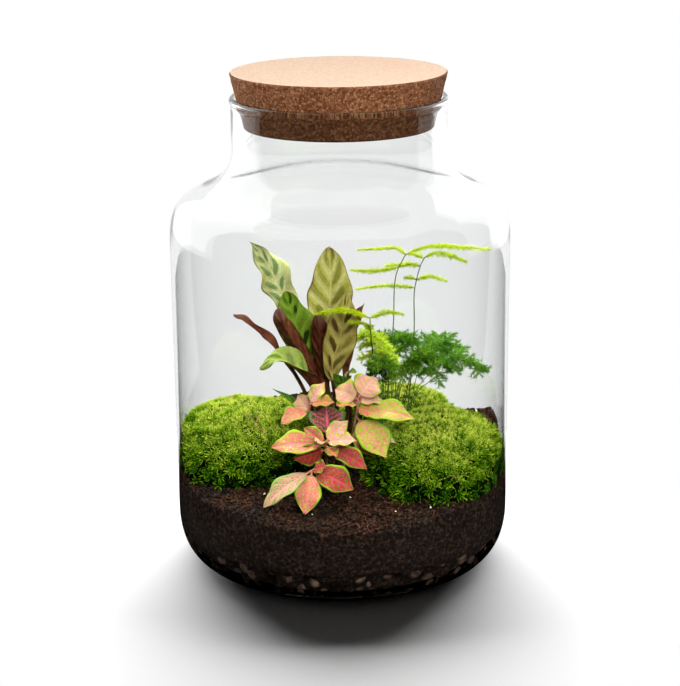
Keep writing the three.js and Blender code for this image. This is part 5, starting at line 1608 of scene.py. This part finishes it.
def twigMesh(name, lines):
    # edges for the twig tree; a line is its points, its two thicknesses and whether it has needles
    points, edges, thickness, needled = [], [], [], []
    for route, radii, leafy in lines:
        start = len(points)
        points += route
        edges += [(start + i, start + i + 1) for i in range(len(route) - 1)]
        thickness += [lerp(radii[0], radii[1], i / (len(route) - 1)) * mm for i in range(len(route))]
        needled += [float(leafy)] * len(route)
    mesh = meshOf(name, points, [], edges=edges)
    setAttribute(mesh, "thickness", thickness)
    setAttribute(mesh, "needled", needled)
    return mesh


def sideTwigs(route, reach, step, flatness, random, taper=1.6):
    # short twigs left and right of a route, longest before its middle
    lines = []
    total = lengthOf(route)
    count = max(2, round(total / step))
    spots = spaced(route, count)
    for i in range(1, count):
        share = i / count
        along = (spots[i + 1] - spots[i - 1]).normalized()
        level = along.cross(Vector((0, 0, 1)))
        if level.length < 0.2:
            level = along.orthogonal()
        level.normalize()
        length = reach * (0.35 + 0.65 * math.sin(math.pi * min(1, share * 0.75 + 0.25)) ** taper)
        for sign in (-1, 1):
            up = Vector((0, 0, 1)) * random.uniform(-flatness, flatness)
            way = (level * sign + along * random.uniform(0.45, 0.85) + up).normalized()
            mine = length * random.uniform(0.75, 1.1)
            end = spots[i] + way * mine
            bend = spots[i] + way * mine * 0.5 + Vector((0, 0, 1)) * 0.06 * mine
            lines.append(([spots[i], bend, end], (fern["tip"], fern["tip"] * 0.7), True))
    return lines


def buildFern():
    tree = twigTree()
    bark = plainTint("asparagus fern stem", [(0.3, "#2c4a1c"), (0.7, "#5a7a34")], {"Roughness": 0.6})
    looks = {look: fernNeedle("asparagus fern needles, " + look, list(zip((0.1, 0.5, 0.9), colours)))
             for look, colours in fernLooks.items()}

    def keepFern(name, lines, look, seed, kind):
        mesh = grown(name, twigMesh(name, lines), tree, {
            "Spacing": fern[kind + "Spacing"] * mm, "Needles": fern[kind + "Needles"],
            "Length": fern[kind + "Needle"] * mm, "Width": fern["needleWidth"] * mm, "Lean": fern["lean"],
            "Seed": seed, "Twig material": bark, "Needle material": looks[look],
        })
        keepInside(mesh, 0.4)
        keepPiece(name + "_plume", mesh, "fern", [name], smooth=False)

    for name, plant in highStems.items():
        random = Random(plant["seed"])
        stem = fromSoil(*plant["foot"], *plant["stem"])
        route = [stem[0]] + spaced(stem[2:], 24)
        lines = [(route, (fern["thick"], fern["thin"]), False)]
        for path, reach in plant["sprays"]:
            path = [Vector(p) for p in path]
            path[0] = nearestOn(route, path[0])
            spine = spaced(path, max(4, round(lengthOf(path) / 2)))
            lines.append((spine, (fern["thin"], fern["tip"]), True))
            lines += sideTwigs(spine, reach * 0.8, fern["sprayStep"], fern["sprayFlat"], random)
        keepFern(name, lines, "lime", plant["seed"], "spray")

    for i, (name, frond) in enumerate(bushFronds.items()):
        seed = fern["bushSeed"] + i
        random = Random(seed)
        plume = [Vector(p) for p in frond["plume"]]
        spine = spaced(plume, 24)
        stem = fromSoil(*frond["foot"], frond["plume"][0])
        bareRadii = (fern["thick"] * fern["bushStem"], fern["thin"] * fern["bushStem"])
        lines = [([stem[0]] + spaced(stem[2:], 8), bareRadii, False),
                 (spine, (fern["thin"], fern["tip"]), True)]
        for k, (share, reach) in enumerate(zip(bushBranches["at"], bushBranches["reach"])):
            root, along = curveAt(plume, share), wayAt(plume, share)
            outward = along.cross(Vector((0, 0, 1))).normalized() * (1 if k % 2 else -1)
            way = outward + along * bushBranches["forward"]
            way.z = random.uniform(-0.8, 0.8) * bushBranches["roll"]
            way.normalize()
            reach *= frond["spread"]
            end = root + way * reach + Vector((0, 0, -bushBranches["drop"] * reach))
            branch = spaced([root, root + way * reach / 2, end], 10)
            lines.append((branch, (fern["thin"], fern["tip"]), True))
            lines += sideTwigs(branch, fern["bushTwig"], fern["bushStep"], fern["bushFlat"], random, 1.0)
        lines += sideTwigs(spine, fern["bushTwig"] * 1.2, fern["bushStep"], fern["bushFlat"], random, 1.0)
        # a bare stem or two from feet close by, up into the plume
        for share in (0.35, 0.7):
            foot = (frond["foot"][0] + random.uniform(-3, 3), frond["foot"][1] + random.uniform(-3, 3))
            top = curveAt(plume, share)
            bend = (lerp(foot[0], top.x, 0.3), lerp(foot[1], top.y, 0.3), lerp(60, top.z, 0.6))
            bare = fromSoil(*foot, bend, top)
            lines.append(([bare[0]] + spaced(bare[2:], 10), bareRadii, False))
        keepFern(name, lines, frond["look"], seed, "bush")


buildFern()
print("fern made")
